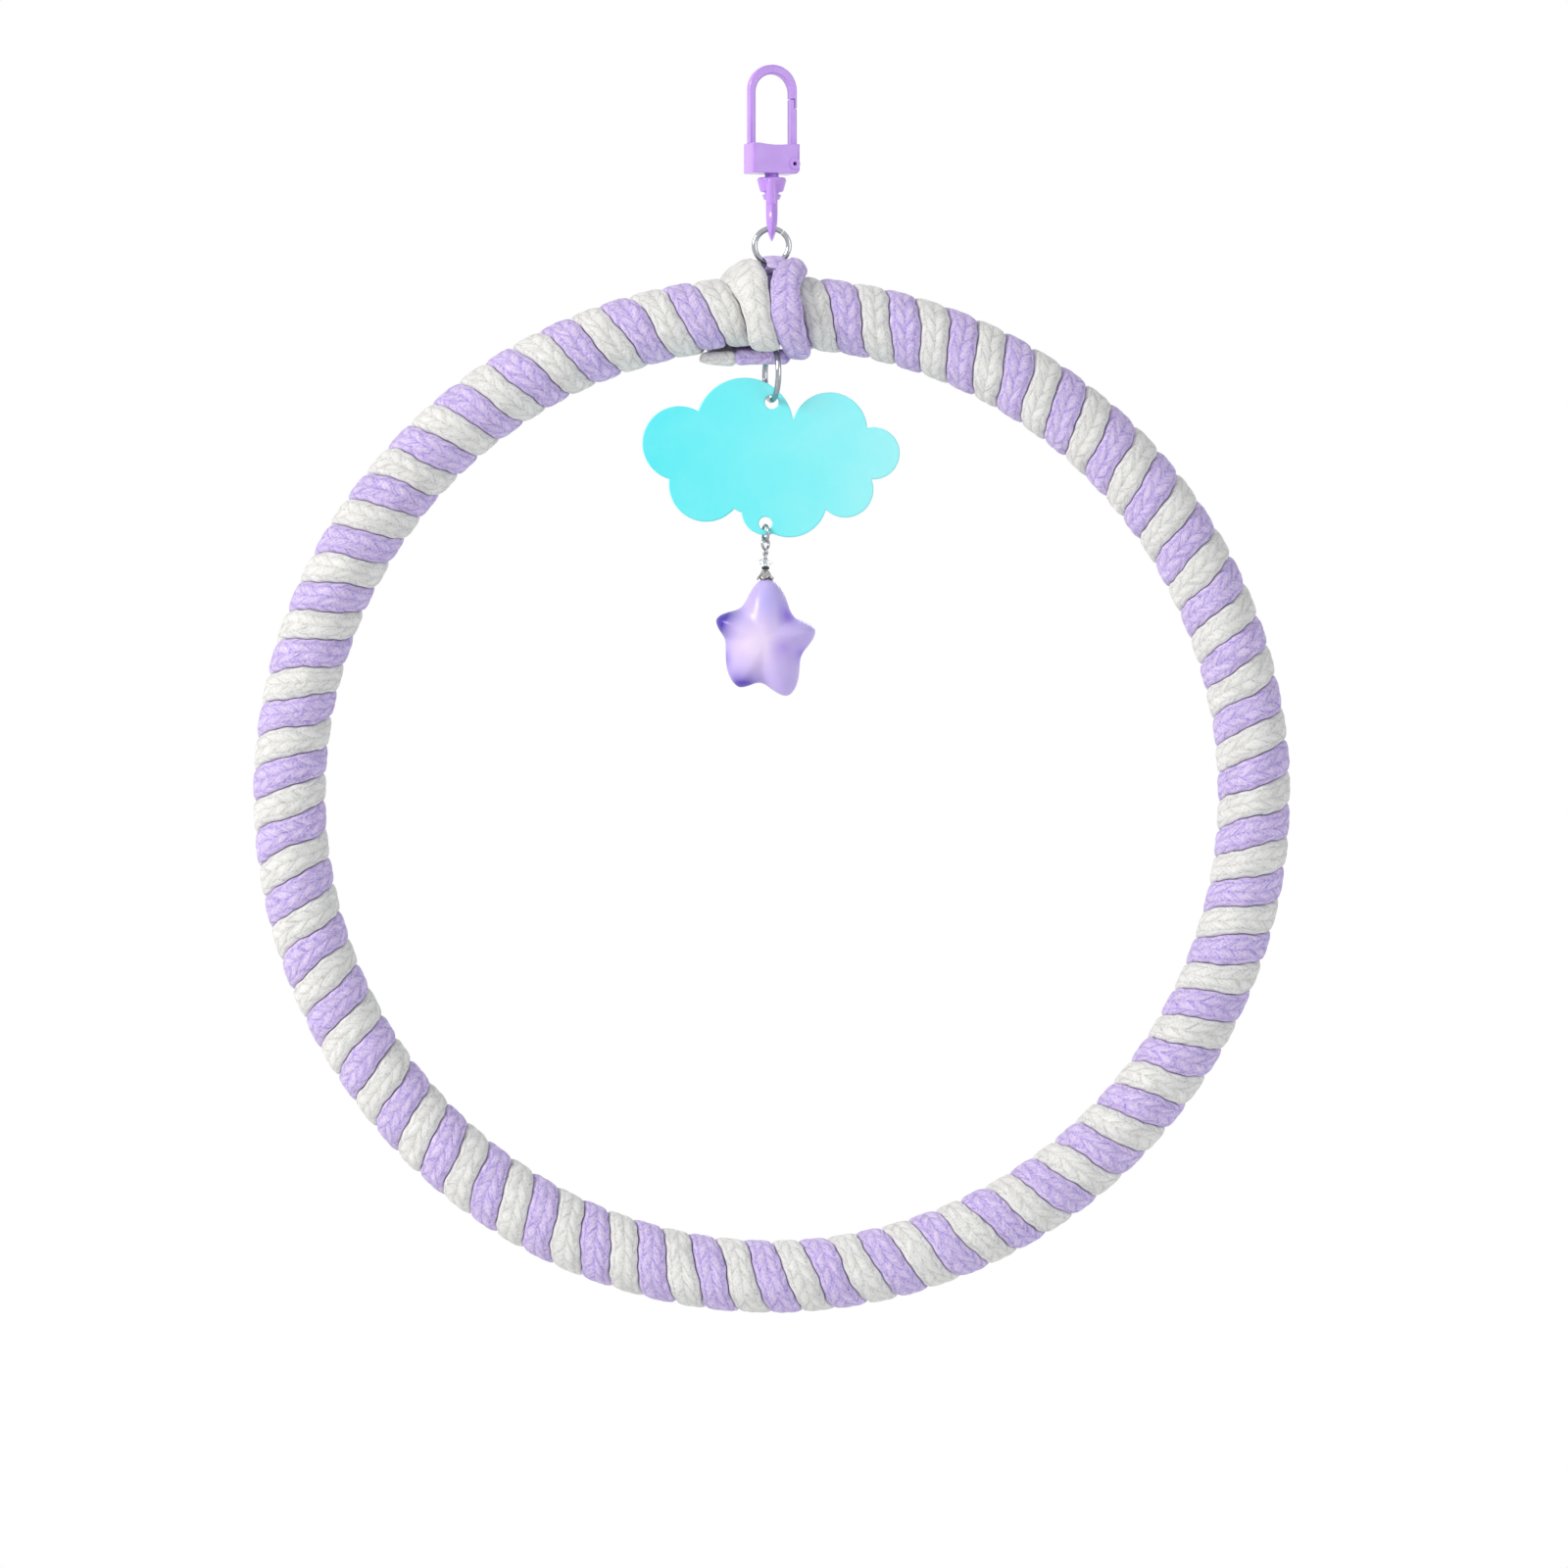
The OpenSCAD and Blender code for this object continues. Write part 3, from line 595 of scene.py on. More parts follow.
def bow_share(points):
    """1 on the left half of the bow's front and back outlines. On the right it falls evenly
    with the angle from 75 degrees down to 0.36 at the nose, whose lip is thin, because two
    widths that meet on a straight edge would tear it. All other edges get 0.36."""
    middle = points.mean(0)
    if points[:, 2].max() < BLOCK_TOP_Z or np.ptp(points @ CLASP_BACK) > 0.05:
        return PLAIN_SHARE
    angle = math.degrees(math.atan2(middle[2] - BOW_Z, middle @ CLASP_RIGHT)) % 360
    rounder = min(max(angle / FULL_SHARE_DEG, 0), 1) if angle < 270 else 0
    return PLAIN_SHARE + (1 - PLAIN_SHARE) * rounder


clasp = rounded_copy("clasp_body", "clasp_casting", 0.45, "clasp", "clasp_paint", share=bow_share)
gate = rounded_copy("clasp_gate", "clasp_gate_bar", 0.22, "gate", "clasp_paint")
rivet = rounded_copy("gate_rivet", "clasp_rivet", 0.04, "clasp", "clasp_paint")


# %% Coil the gate's spring
SPRING_Z = -12.0
SPRING_START, SPRING_LENGTH = -1.8, 3.8
COIL_R, COIL_WIRE_R, COIL_TURNS = 0.6, 0.13, 7


def gate_coil():
    """A helix of 0.26 mm wire with a radius of 0.6 mm from x -1.8 to 2.0 mm in the clasp's own
    frame, at the height of the spring's hole: the length at which the open gate holds it."""
    t = np.linspace(0, 1, 260)[:, None]
    turn, around = 2 * np.pi * COIL_TURNS * t, circle_angles(10)[None, :]
    reach = COIL_R + COIL_WIRE_R * np.cos(around)
    forward = SPRING_START + SPRING_LENGTH * t + COIL_WIRE_R * np.sin(around)
    back, up = reach * np.cos(turn), SPRING_Z + reach * np.sin(turn)
    upright = np.stack([0 * up, 0 * up, up], -1)
    return forward[..., None] * CLASP_RIGHT + back[..., None] * CLASP_BACK + upright


spring = place(tube_mesh("gate_coil", gate_coil()), "clasp", "spring_steel", "gate_spring")

# %% [markdown]
# A flat sheet with rounded rims
#
# The cloud is cut from a flat sheet and tumbled. A bevel on such a large flat face leaves
# creases, so this form is built from its outline instead: the rim of the engineered front
# face is read, drawn inwards in a quarter circle on both sides, and the two flat faces are
# filled between the outline and the holes.

# %% Read the outlines of a flat sheet
def rim_loops(mesh):
    """The closed rims of the faces that look to the front, each an array of (x, z) in
    millimetres. A rim edge is one whose opposite no other front triangle has; each rim point
    leads to one next point, and they are followed until they come back."""
    work = bmesh.new()
    work.from_mesh(mesh)
    bmesh.ops.remove_doubles(work, verts=work.verts, dist=WELD)
    work.verts.index_update()
    spots = np.array([vert.co for vert in work.verts]) / MM
    front = [[vert.index for vert in face.verts] for face in work.faces if face.normal.y < -0.99]
    work.free()
    edges = {(ring[i - 1], ring[i]) for ring in front for i in range(len(ring))}
    following = {a: b for a, b in edges if (b, a) not in edges}
    loops = []
    while following:
        start, here = following.popitem()
        ring = [start]
        while here != start:
            ring.append(here)
            here = following.pop(here)
        loops.append(spots[ring][:, [0, 2]])
    return loops


cloud_rims = rim_loops(nodes["cloud"].data)
print("cloud: one outline and", len(cloud_rims) - 1, "holes, of",
      [len(rim) for rim in cloud_rims], "points")


# %% Build the sheet from its outlines
def rounded_sheet(name, rims, half_thick, round_mm, steps=4):
    """Each rim becomes a band: its points move inwards by r (1 - cos v) as their depth goes
    from half - r to half by r sin v, to the front and to the back. The material lies to the
    left of the way round, so inwards is the direction of travel turned by 90 degrees."""
    v = np.radians(np.linspace(90, 0, steps))
    inset = np.concatenate([1 - np.cos(v), (1 - np.cos(v))[::-1]]) * round_mm
    near = half_thick - round_mm + round_mm * np.sin(v)
    depth = np.concatenate([-near, near[::-1]])
    points, quads, base = [], [], 0
    for rim in rims:
        travel = np.roll(rim, -1, 0) - np.roll(rim, 1, 0)
        travel /= np.linalg.norm(travel, axis=1, keepdims=True)
        inwards = np.stack([-travel[:, 1], travel[:, 0]], -1)
        flat = rim[None] + inset[:, None, None] * inwards[None]
        x, z = flat[..., 0], flat[..., 1]
        points.append(np.stack([x, depth[:, None] + 0 * x, z], -1).reshape(-1, 3))
        quads.append(base + grid_quads(2 * steps, len(rim)))
        base += 2 * steps * len(rim)
    mesh = bpy.data.meshes.new(name)
    mesh.from_pydata((np.vstack(points) * MM).tolist(), [], np.vstack(quads).tolist())
    shade(mesh)
    work = bmesh.new()
    work.from_mesh(mesh)
    for sign in (-1, 1):
        rim_edges = [edge for edge in work.edges
                     if edge.is_boundary and edge.verts[0].co.y * sign > 0]
        bmesh.ops.triangle_fill(work, use_beauty=True, use_dissolve=False, edges=rim_edges)
    bmesh.ops.recalc_face_normals(work, faces=work.faces)
    work.to_mesh(mesh)
    work.free()
    return mesh


cloud = place(rounded_sheet("cloud_charm_sheet", cloud_rims, 1.0, 0.25),
              "cloud_charm", "cloud_acrylic", "cloud")

# %% [markdown]
# Turned parts
#
# The swivel, the beads and the bead cap are round about a vertical line. A turned part is
# its half outline spun about that line. The outline is drawn as a few corner points, and
# each corner is eased by a small curve, as a lathe tool leaves it.

# %% Outlines with eased corners, and spinning them
def eased(corners, radius, samples=5):
    """The corner points joined by straight lines, each inner corner replaced by the curve
    (1-t)^2 a + 2 t (1-t) corner + t^2 b, where a and b lie radius away along its two lines."""
    corners = np.array(corners, float)
    line = [corners[:1]]
    t = np.linspace(0, 1, samples)[:, None]
    for before, corner, after in zip(corners[:-2], corners[1:-1], corners[2:]):
        back, on = before - corner, after - corner
        reach = min(radius, 0.45 * np.linalg.norm(back), 0.45 * np.linalg.norm(on))
        a = corner + back / np.linalg.norm(back) * reach
        b = corner + on / np.linalg.norm(on) * reach
        line.append((1 - t) ** 2 * a + 2 * t * (1 - t) * corner + t ** 2 * b)
    line.append(corners[-1:])
    return np.vstack(line)


def spin(outline, sides=72):
    """A grid from an outline of (radius, height), spun about the upright axis: rows follow the
    outline and columns go round."""
    turn = circle_angles(sides)[None, :]
    radius, height = outline[:, :1], outline[:, 1:]
    return np.stack([radius * np.cos(turn), radius * np.sin(turn), height + 0 * turn], -1)


# %% [markdown]
# The swivel: a turned collar with a neck whose head is held inside the block, and under it
# a cast loop whose shank runs up through the collar. Seen from the front the loop is
# edge-on, and it thins to a blade at its foot, where the top ring hangs. The collar, the
# loop and the shank are closed forms in one mesh.

# %% Turn the swivel and cast its loop
swivel_outline = eased([
    (0.02, -21.8), (1.55, -21.8), (2.0, -20.76), (1.4, -20.7), (1.4, -20.32), (2.36, -20.14),
    (3.02, -17.75), (2.85, -17.32), (1.43, -17.26), (1.43, -15.52), (1.93, -15.48), (1.93, -13.95),
    (0.02, -13.95)], 0.22)
swivel_mesh = tube_mesh("swivel_turning", spin(swivel_outline))
LOOP_Z, LOOP_R, LOOP_HALF = -25.9, 3.4, 0.98
RIDGE_POWER = 1.6


def loop_grid():
    """A ring in the plane of Y and Z: centre height + (radius + a cos v) in the direction u,
    and b sin v across. b is 1.2 - 0.66 t^3, where t goes from 0 at the top to 1 at the foot;
    the section is a power 1.6 of cos and sin, which leaves a ridge."""
    u, v = circle_angles(144)[:, None], circle_angles(40)[None, :]
    thin = 1.2 - 0.66 * ((1 - np.cos(u)) / 2) ** 3
    in_plane = np.sign(np.cos(v)) * np.abs(np.cos(v)) ** RIDGE_POWER
    across = np.sign(np.sin(v)) * np.abs(np.sin(v)) ** RIDGE_POWER
    reach = LOOP_R + LOOP_HALF * in_plane
    return np.stack([thin * across, reach * np.sin(u), LOOP_Z + reach * np.cos(u)], -1)


# %% The loop's shank, and the swivel in one mesh
def join_meshes(name, *meshes):
    """One mesh holding several closed forms."""
    work = bmesh.new()
    for mesh in meshes:
        work.from_mesh(mesh)
        bpy.data.meshes.remove(mesh)
    joined = bpy.data.meshes.new(name)
    work.to_mesh(joined)
    work.free()
    return joined


SHANK_TOP, SHANK_FOOT = -17.5, -23.4


def shank_grid():
    """The loop's shank, which runs up through the collar: a bar with a ridge in front and
    behind, which widens by a sixth on its way down. It closes over 0.4 mm at the top, and
    at the foot it narrows over 1 mm inside the loop."""
    section = eased([(0, -3.4), (1.05, -2.6), (1.05, 2.6), (0, 3.4), (-1.05, 2.6), (-1.05, -2.6),
                     (0, -3.4)], 0.25)[:-1]
    height = np.linspace(SHANK_TOP, SHANK_FOOT, 36)[:, None]
    top = 0.6 + 0.4 * closing_quarter((SHANK_TOP - height) / 0.4)
    foot = closing_quarter(height - SHANK_FOOT)
    wide = top * (1 + 0.03 * (SHANK_TOP - height)) * (0.6 + 0.4 * foot)
    deep = top * (0.85 + 0.15 * foot)
    return np.stack([section[:, 0] * wide, section[:, 1] * deep, height + 0 * section[:, 0]], -1)


loop_mesh = tube_mesh("swivel_loop", loop_grid(), loop=True)
shank_mesh = tube_mesh("swivel_shank", shank_grid())
swivel = place(join_meshes("swivel_casting", swivel_mesh, loop_mesh, shank_mesh),
               "swivel", "clasp_paint", "swivel_eye")

# %% [markdown]
# The star
#
# The star is moulded resin, puffed like a pillow. Its outline goes from tip to notch to tip
# with a smooth ease, and every slice of it, from the rim to the middle, is the same outline
# shrunk as the surface rises. Towards a tip the surface stays high for long, and towards a
# notch it falls early, and that makes the ridge along each arm and the valley between two.

# %% Mould the star
# It hangs under the cloud's lower hole, 2.4 percent of the cloud's width left of the middle.
CLOUD_W = 53.1
STAR_X = -0.024 * CLOUD_W
STAR_Z = -111.44
STAR_W = 20.0
STAR_HALF_T = 5
TIP_ANGLES = np.array([10, 41, 89, 128, 158, 184, 240, 263, 292, 336, 370.0])
TIP_RADII = np.array([0.515, 0.375, 0.625, 0.41, 0.54, 0.41, 0.56, 0.45, 0.62, 0.405, 0.515])


def star_outline(count=320):
    """Radius against direction: between a tip and a notch the radius eases as
    (1 - cos(180 t^0.85)) / 2, where t runs from the tip, and the same backwards. The last
    value is 1 at a tip and 0 at a notch."""
    angle = TIP_ANGLES[0] + np.linspace(0, 360, count, endpoint=False)
    side = np.clip(np.searchsorted(TIP_ANGLES, angle, side="right") - 1, 0, 9)
    t = (angle - TIP_ANGLES[side]) / (TIP_ANGLES[side + 1] - TIP_ANGLES[side])
    outward = side % 2 == 1
    s = np.where(outward, 1 - t, t) ** 0.85
    ease = (1 - np.cos(np.pi * s)) / 2
    ease = np.where(outward, 1 - ease, ease)
    radius = (TIP_RADII[side] * (1 - ease) + TIP_RADII[side + 1] * ease) * STAR_W
    return np.radians(angle), radius, np.where(outward, ease, 1 - ease)


def star_surface():
    """Rows go from the back's middle over the rim to the front's. The share s of the outline is
    the cosine of the row's angle. The depth is 5 sqrt(1 - s^2), raised by 0.14 s^4.6 towards
    a tip and lowered by 0.32 s^4.6 towards a notch, so the middle stays a plain dome."""
    direction, radius, tip = star_outline()
    rise = np.radians(np.linspace(-89, 89, 90))[:, None]
    share = np.cos(rise)
    relief = 1 + share ** 4.6 * (0.14 * tip - 0.32 * (1 - tip) ** 1.6)[None, :]
    depth = STAR_HALF_T * np.sin(rise) * relief
    return np.stack([STAR_X + share * (radius * np.cos(direction))[None, :], depth,
                     STAR_Z + share * (radius * np.sin(direction))[None, :]], -1)


star = place(tube_mesh("moulded_star", star_surface()), "star_drop", "star_resin", "star")

# %% [markdown]
# Beads and cap
#
# On the pin, from the top: two and a half turns of fine wire that lock the eye, a cut
# crystal, a dark polished spacer, and a silver cap like a small flower whose petals hold
# the star's tip. A bead with a hole is a closed outline spun all the way round.

# %% A bead from its outline
def bead(name, outline, sides=48, petals=0, scallop=0.0):
    """A closed outline of (radius, height) points spun about the pin. Petals lift the low
    points by scallop (1 - |cos(petals / 2 u)|) and draw them in a little."""
    outline = np.array(outline)
    u = circle_angles(sides)[:, None]
    radius, height = outline[None, :, 0], outline[None, :, 1]
    top, foot = outline[:, 1].max(), outline[:, 1].min()
    low = np.clip((top - height) / (top - foot), 0, 1) ** 1.5
    notch = 1 - np.abs(np.cos(petals / 2 * (u + 0.5))) if petals else 0 * u
    height = height + low * scallop * notch
    radius = radius * (1 - 0.12 * low * notch)
    x, y = STAR_X + radius * np.cos(u), radius * np.sin(u)
    return tube_mesh(name, np.stack([x, y, height + 0 * u], -1), loop=True)


# %% Cut the beads and press the cap
crystal_mesh = bead("cut_crystal", [(0.38, -94.92), (0.72, -94.92), (1.48, -95.55), (1.48, -95.85),
                                    (0.72, -96.48), (0.38, -96.48)], sides=8)
shade(crystal_mesh, smooth=False)
crystal = place(crystal_mesh, "crystal", "clear_bead", "crystal_bead")
disc = circle_angles(20)
spacer_outline = np.stack([0.59 + 0.2 * np.cos(disc), -96.92 + 0.36 * np.sin(disc)], -1)
spacer = place(bead("dark_spacer", spacer_outline), "spacer", "dark_bead", "spacer_bead")
cap_outline = [(0.38, -97.36), (0.62, -97.36), (0.86, -97.5), (1.0, -97.9), (1.3, -98.4),
               (1.72, -98.85), (1.82, -99.1), (1.72, -99.4), (1.6, -99.42), (1.52, -99.1),
               (1.2, -98.75), (0.85, -98.3), (0.7, -97.9), (0.38, -97.75)]
cap = place(bead("petal_cap", cap_outline, sides=120, petals=5, scallop=0.75),
            "star_drop", "cap_silver", "bead_cap")


# %% Lock the pin's eye with wire
def wire_wrap(name, top, turns, coil_r, wire_r):
    """A helix about the pin: x and y = coil radius times cos and sin of the turn angle, and
    the height falls by one wire a turn. The round section stands across the helix."""
    angle = np.linspace(0, 2 * np.pi * turns, int(28 * turns))[:, None]
    v = circle_angles(12)[None, :]
    reach = coil_r + wire_r * np.cos(v)
    height = top - angle / (2 * np.pi) * 2.05 * wire_r + wire_r * np.sin(v)
    x, y = STAR_X + reach * np.cos(angle), reach * np.sin(angle)
    return tube_mesh(name, np.stack([x, y, height], -1))


wrap = place(wire_wrap("pin_wire_wrap", -93.6, 2.6, 0.45, 0.13), "star_drop", "ring_steel")

# %% [markdown]
# Finishes: a kit of small steps
#
# Every finish below is a few nodes: a pattern in space or along the cord, a colour ramp
# that reads it, and a slight bump. The helpers add one node each. Colours are picked as
# they appear on a screen, from 0 to 255, and turned into the linear values that light
# works in.

# %% A screen's colour, and a node with its values
def screen_colour(red, green, blue):
    """Linear colour of a screen value: ((c + 0.055) / 1.055)^2.4, or c / 12.92 when dark."""
    c = np.array([red, green, blue]) / 255
    linear = np.where(c <= 0.04045, c / 12.92, ((c + 0.055) / 1.055) ** 2.4)
    return (*[float(v) for v in linear], 1.0)


def add_node(tree, kind, inputs=None, **settings):
    """A node with its settings and input values set, linked where a value is a socket."""
    node = tree.nodes.new(kind)
    for key, value in settings.items():
        setattr(node, key, value)
    for key, value in (inputs or {}).items():
        if isinstance(value, bpy.types.NodeSocket):
            tree.links.new(value, node.inputs[key])
        else:
            node.inputs[key].default_value = value
    return node


# %% Helpers for the nodes that every finish uses
def link(tree, output, node, socket):
    """Links an output to a node's input."""
    tree.links.new(output, node.inputs[socket])


def maths(tree, operation, *values, **settings):
    """The output of one maths node."""
    return add_node(tree, "ShaderNodeMath", dict(enumerate(values)), operation=operation,
                    **settings).outputs[0]


def map_range(tree, value, to, start=(0.0, 1.0)):
    """The value moved from the range start to the range to, and held at its ends."""
    return add_node(tree, "ShaderNodeMapRange", {
        "Value": value, "From Min": start[0], "From Max": start[1],
        "To Min": to[0], "To Max": to[1]}).outputs["Result"]


def noise(tree, place_in, scale, detail=2.0, roughness=0.5, distortion=0.0):
    """A noise texture's value at a place."""
    return add_node(tree, "ShaderNodeTexNoise", {
        "Vector": place_in, "Scale": scale, "Detail": detail, "Roughness": roughness,
        "Distortion": distortion}).outputs["Fac"]


def ramp(tree, value, stops):
    """A colour ramp through (position, screen colour) stops."""
    node = add_node(tree, "ShaderNodeValToRGB", {"Fac": value})
    while len(node.color_ramp.elements) < len(stops):
        node.color_ramp.elements.new(0.5)
    for element, (position, colour) in zip(node.color_ramp.elements, stops):
        element.position, element.color = position, screen_colour(*colour)
    return node.outputs["Color"]


def bump(tree, shader, height, strength, distance_mm):
    """Bumps the shader's Normal by a height."""
    node = add_node(tree, "ShaderNodeBump",
                    {"Height": height, "Strength": strength, "Distance": distance_mm * MM})
    link(tree, node.outputs["Normal"], shader, "Normal")


# %% Helpers for materials and node groups
def finish_material(name, *pieces):
    """A new material with a Principled shader, put on the pieces as their only finish."""
    material = bpy.data.materials.new(name)
    material.use_nodes = True
    for piece in pieces:
        piece.data.materials.clear()
        piece.data.materials.append(material)
    print(name, "on", len(pieces), "pieces")
    return material.node_tree, material.node_tree.nodes["Principled BSDF"]


def set_sockets(shader, values):
    """Puts plain values on the shader's own sockets."""
    for socket, value in values.items():
        shader.inputs[socket].default_value = value


def object_place(tree):
    """Where a point is in its object's own coordinates, in metres."""
    return add_node(tree, "ShaderNodeTexCoord").outputs["Object"]


def group_with(name, inputs, outputs):
    """An empty node group with named float or vector inputs and float outputs. An input without
    a value is a vector."""
    group = bpy.data.node_groups.new(name, "ShaderNodeTree")
    for label, value in inputs:
        kind = "NodeSocketVector" if value is None else "NodeSocketFloat"
        socket = group.interface.new_socket(label, in_out="INPUT", socket_type=kind)
        if value is not None:
            socket.default_value = value
    for label in outputs:
        group.interface.new_socket(label, in_out="OUTPUT", socket_type="NodeSocketFloat")
    return group, group.nodes.new("NodeGroupInput").outputs, group.nodes.new("NodeGroupOutput")


# %% [markdown]
# Cotton
#
# Braided cotton shows yarns that lean left and right by turns, and fine fibres along each yarn.
# Its colour also carries painted shade in the creases where one yarn dives under the next, and
# painted light on the raised crown of each stitch. The pattern is drawn on the cord's own map,
# which has millimetres around and millimetres along, so it follows the cord wherever it winds.
# It repeats the braid of the surface: a column number tells which way a yarn leans, and noise
# squeezed along the leaning line becomes fibres.

# %% A group that draws a cotton braid
braid, braid_in, braid_out = group_with(
    "cotton_braid", [("Map", None), ("Stitch Width", STITCH_W), ("Stitch Length", STITCH_L)],
    ["Fibre Tone with Painted Shade", "Patches", "Height"])


def braid_math(operation, *values):
    """The output of one maths node in the braid group."""
    return maths(braid, operation, *values)


split = add_node(braid, "ShaderNodeSeparateXYZ", {0: braid_in["Map"]}).outputs
column = braid_math("DIVIDE", split["X"], braid_in["Stitch Width"])
inside = braid_math("SUBTRACT", braid_math("FRACT", column), 0.5)
parity = braid_math("FLOORED_MODULO", braid_math("FLOOR", column), 2.0)
lean = braid_math("MULTIPLY_ADD", parity, -2.0, 1.0)
leaning = braid_math("MULTIPLY", lean, braid_math("MULTIPLY_ADD", inside, 0.7, 0.25))
stitch = braid_math("ADD", braid_math("DIVIDE", split["Y"], braid_in["Stitch Length"]), leaning)
along_stitch = braid_math("SUBTRACT", braid_math("FRACT", stitch), 0.5)
hump = braid_math("SQRT", braid_math(
    "MULTIPLY", braid_math("COSINE", braid_math("MULTIPLY", inside, math.pi)),
    braid_math("COSINE", braid_math("MULTIPLY", along_stitch, math.pi))))

# %% Fibres with painted crease shade, patches and height of the braid
fibre_map = add_node(braid, "ShaderNodeCombineXYZ", {
    "X": braid_math("MULTIPLY", stitch, 3.2), "Y": braid_math("MULTIPLY", split["X"], 0.3),
    "Z": braid_math("MULTIPLY", lean, 7.0)}).outputs[0]
coarse = noise(braid, fibre_map, 2.2, 4.0, 0.65, 0.4)
fine = noise(braid, fibre_map, 8.0, 3.0, 0.6, 0.8)
patches = noise(braid, braid_in["Map"], 0.28)
speckle = noise(braid, braid_in["Map"], 2.6)
strands = braid_math("MULTIPLY_ADD", coarse, 0.55, braid_math("MULTIPLY", speckle, 0.45))
# The fibre tone takes painted shade where a stitch's hump falls into a crease, and painted light on
# its crown.
tone = braid_math("MULTIPLY_ADD", braid_math("SUBTRACT", hump, 0.75), 0.14, strands)
height = braid_math("ADD", braid_math("MULTIPLY_ADD", strands, 0.8, hump),
                    braid_math("MULTIPLY", fine, 0.6))
for socket, value in (("Fibre Tone with Painted Shade", tone), ("Patches", patches), ("Height", height)):
    link(braid, value, braid_out, socket)


# %% Dye the cotton and paint its crease shade and highlights
def cotton(name, crease_shade, body, lit_highlight, *pieces):
    """Braided cotton in three tones, times slow patches: a painted shade for the creases, the body,
    and a painted highlight on raised fibres.
    """
    tree, shader = finish_material(name, *pieces)
    cord_map = add_node(tree, "ShaderNodeUVMap", uv_map="along_cord").outputs["UV"]
    pattern = add_node(tree, "ShaderNodeGroup", node_tree=braid)
    link(tree, cord_map, pattern, "Map")
    # Painted shade, the plain dye and a painted highlight, spread over the braid's fibre tone.
    tones = ramp(tree, pattern.outputs["Fibre Tone with Painted Shade"], [(0.32, crease_shade), (0.47, body), (0.62, lit_highlight)])
    patch_tone = map_range(tree, pattern.outputs["Patches"], (0.9, 1.04), (0.3, 0.7))
    colour = add_node(tree, "ShaderNodeVectorMath", {0: tones, "Scale": patch_tone},
                      operation="SCALE")
    link(tree, colour.outputs["Vector"], shader, "Base Color")
    bump(tree, shader, pattern.outputs["Height"], 0.7, 0.25)
    set_sockets(shader, {"Roughness": 0.92, "Specular IOR Level": 0.15, "Sheen Weight": 0.25,
                         "Sheen Roughness": 0.5})


cotton("cotton_white", (202, 202, 200), (232, 232, 230), (245, 245, 242),
       white_cord, white_binding, white_tail)
cotton("cotton_lilac", (165, 144, 219), (207, 190, 240), (235, 219, 246),
       lilac_cord, lilac_binding, lilac_strap, lilac_tail)

# %% [markdown]
# Paint, plating and resin
#
# The clasp's paint is thick and glossy, with the faint ripple of a dipped coat. The rings
# are plated wire, bright with slightly duller patches. The cloud is a cast sheet whose dye
# is deeper at its left, and the star is pearly resin under a thin gloss. These patterns
# stay on the object because they read its own coordinates.

# %% A group of slow and fine surface unevenness
uneven, uneven_in, uneven_out = group_with(
    "surface_unevenness", [("Place", None), ("Size", 900.0)], ["Slow", "Fine"])
slow = noise(uneven, uneven_in["Place"], uneven_in["Size"])
grain = noise(uneven, uneven_in["Place"], maths(uneven, "MULTIPLY", uneven_in["Size"], 5.0), 3.0)
link(uneven, slow, uneven_out, "Slow")
link(uneven, grain, uneven_out, "Fine")


def uneven_finish(name, pieces, low, high, roughness, size, bump_mm, values):
    """A finish whose colour runs from low to high over slow patches, whose roughness varies
    between two values over fine ones, and whose surface has a bump of bump_mm. The values go
    on the shader's own sockets."""
    tree, shader = finish_material(name, *pieces)
    pattern = add_node(tree, "ShaderNodeGroup", node_tree=uneven)
    link(tree, object_place(tree), pattern, "Place")
    pattern.inputs["Size"].default_value = size
    link(tree, ramp(tree, pattern.outputs["Slow"], [(0.3, low), (0.7, high)]), shader, "Base Color")
    gloss = map_range(tree, pattern.outputs["Fine"], roughness, (0.3, 0.7))
    link(tree, gloss, shader, "Roughness")
    bump(tree, shader, pattern.outputs["Slow"], 0.5, bump_mm)
    set_sockets(shader, values)
    return tree, shader


# %% Paint the clasp, plate the wire and polish the beads
METAL = {"Metallic": 1.0}
rod = [nodes["hoop_core"]]
wires = [nodes[name] for name in ("top_ring", "lower_ring", "small_ring", "star_pin")] + [wrap]
uneven_finish("lilac_paint", (clasp, gate, rivet, swivel), (191, 145, 236), (201, 155, 244),
              (0.2, 0.25), 260, 0.006,
              {"Specular IOR Level": 0.4, "Coat Weight": 0.25, "Coat Roughness": 0.08})
for name, pieces, low, high, roughness, size, bump_mm in (
        ("plated_wire", wires, (158, 161, 165), (178, 180, 184), (0.1, 0.18), 2600, 0.004),
        ("spring_wire", [spring], (150, 152, 156), (180, 182, 186), (0.25, 0.4), 1500, 0.01),
        ("drawn_rod", rod, (120, 121, 125), (150, 151, 155), (0.3, 0.5), 300, 0.02),
        ("cap_plating", [cap], (120, 116, 112), (205, 203, 200), (0.15, 0.35), 1400, 0.04)):
    uneven_finish(name, pieces, low, high, roughness, size, bump_mm, METAL)
uneven_finish("dark_polish", [spacer], (22, 24, 28), (48, 54, 60), (0.1, 0.2), 1500, 0.01, {})
uneven_finish("clear_cut_glass", [crystal], (244, 252, 252), (255, 255, 255), (0.01, 0.03), 800,
              0.002, {"Transmission Weight": 1.0, "IOR": 1.5})
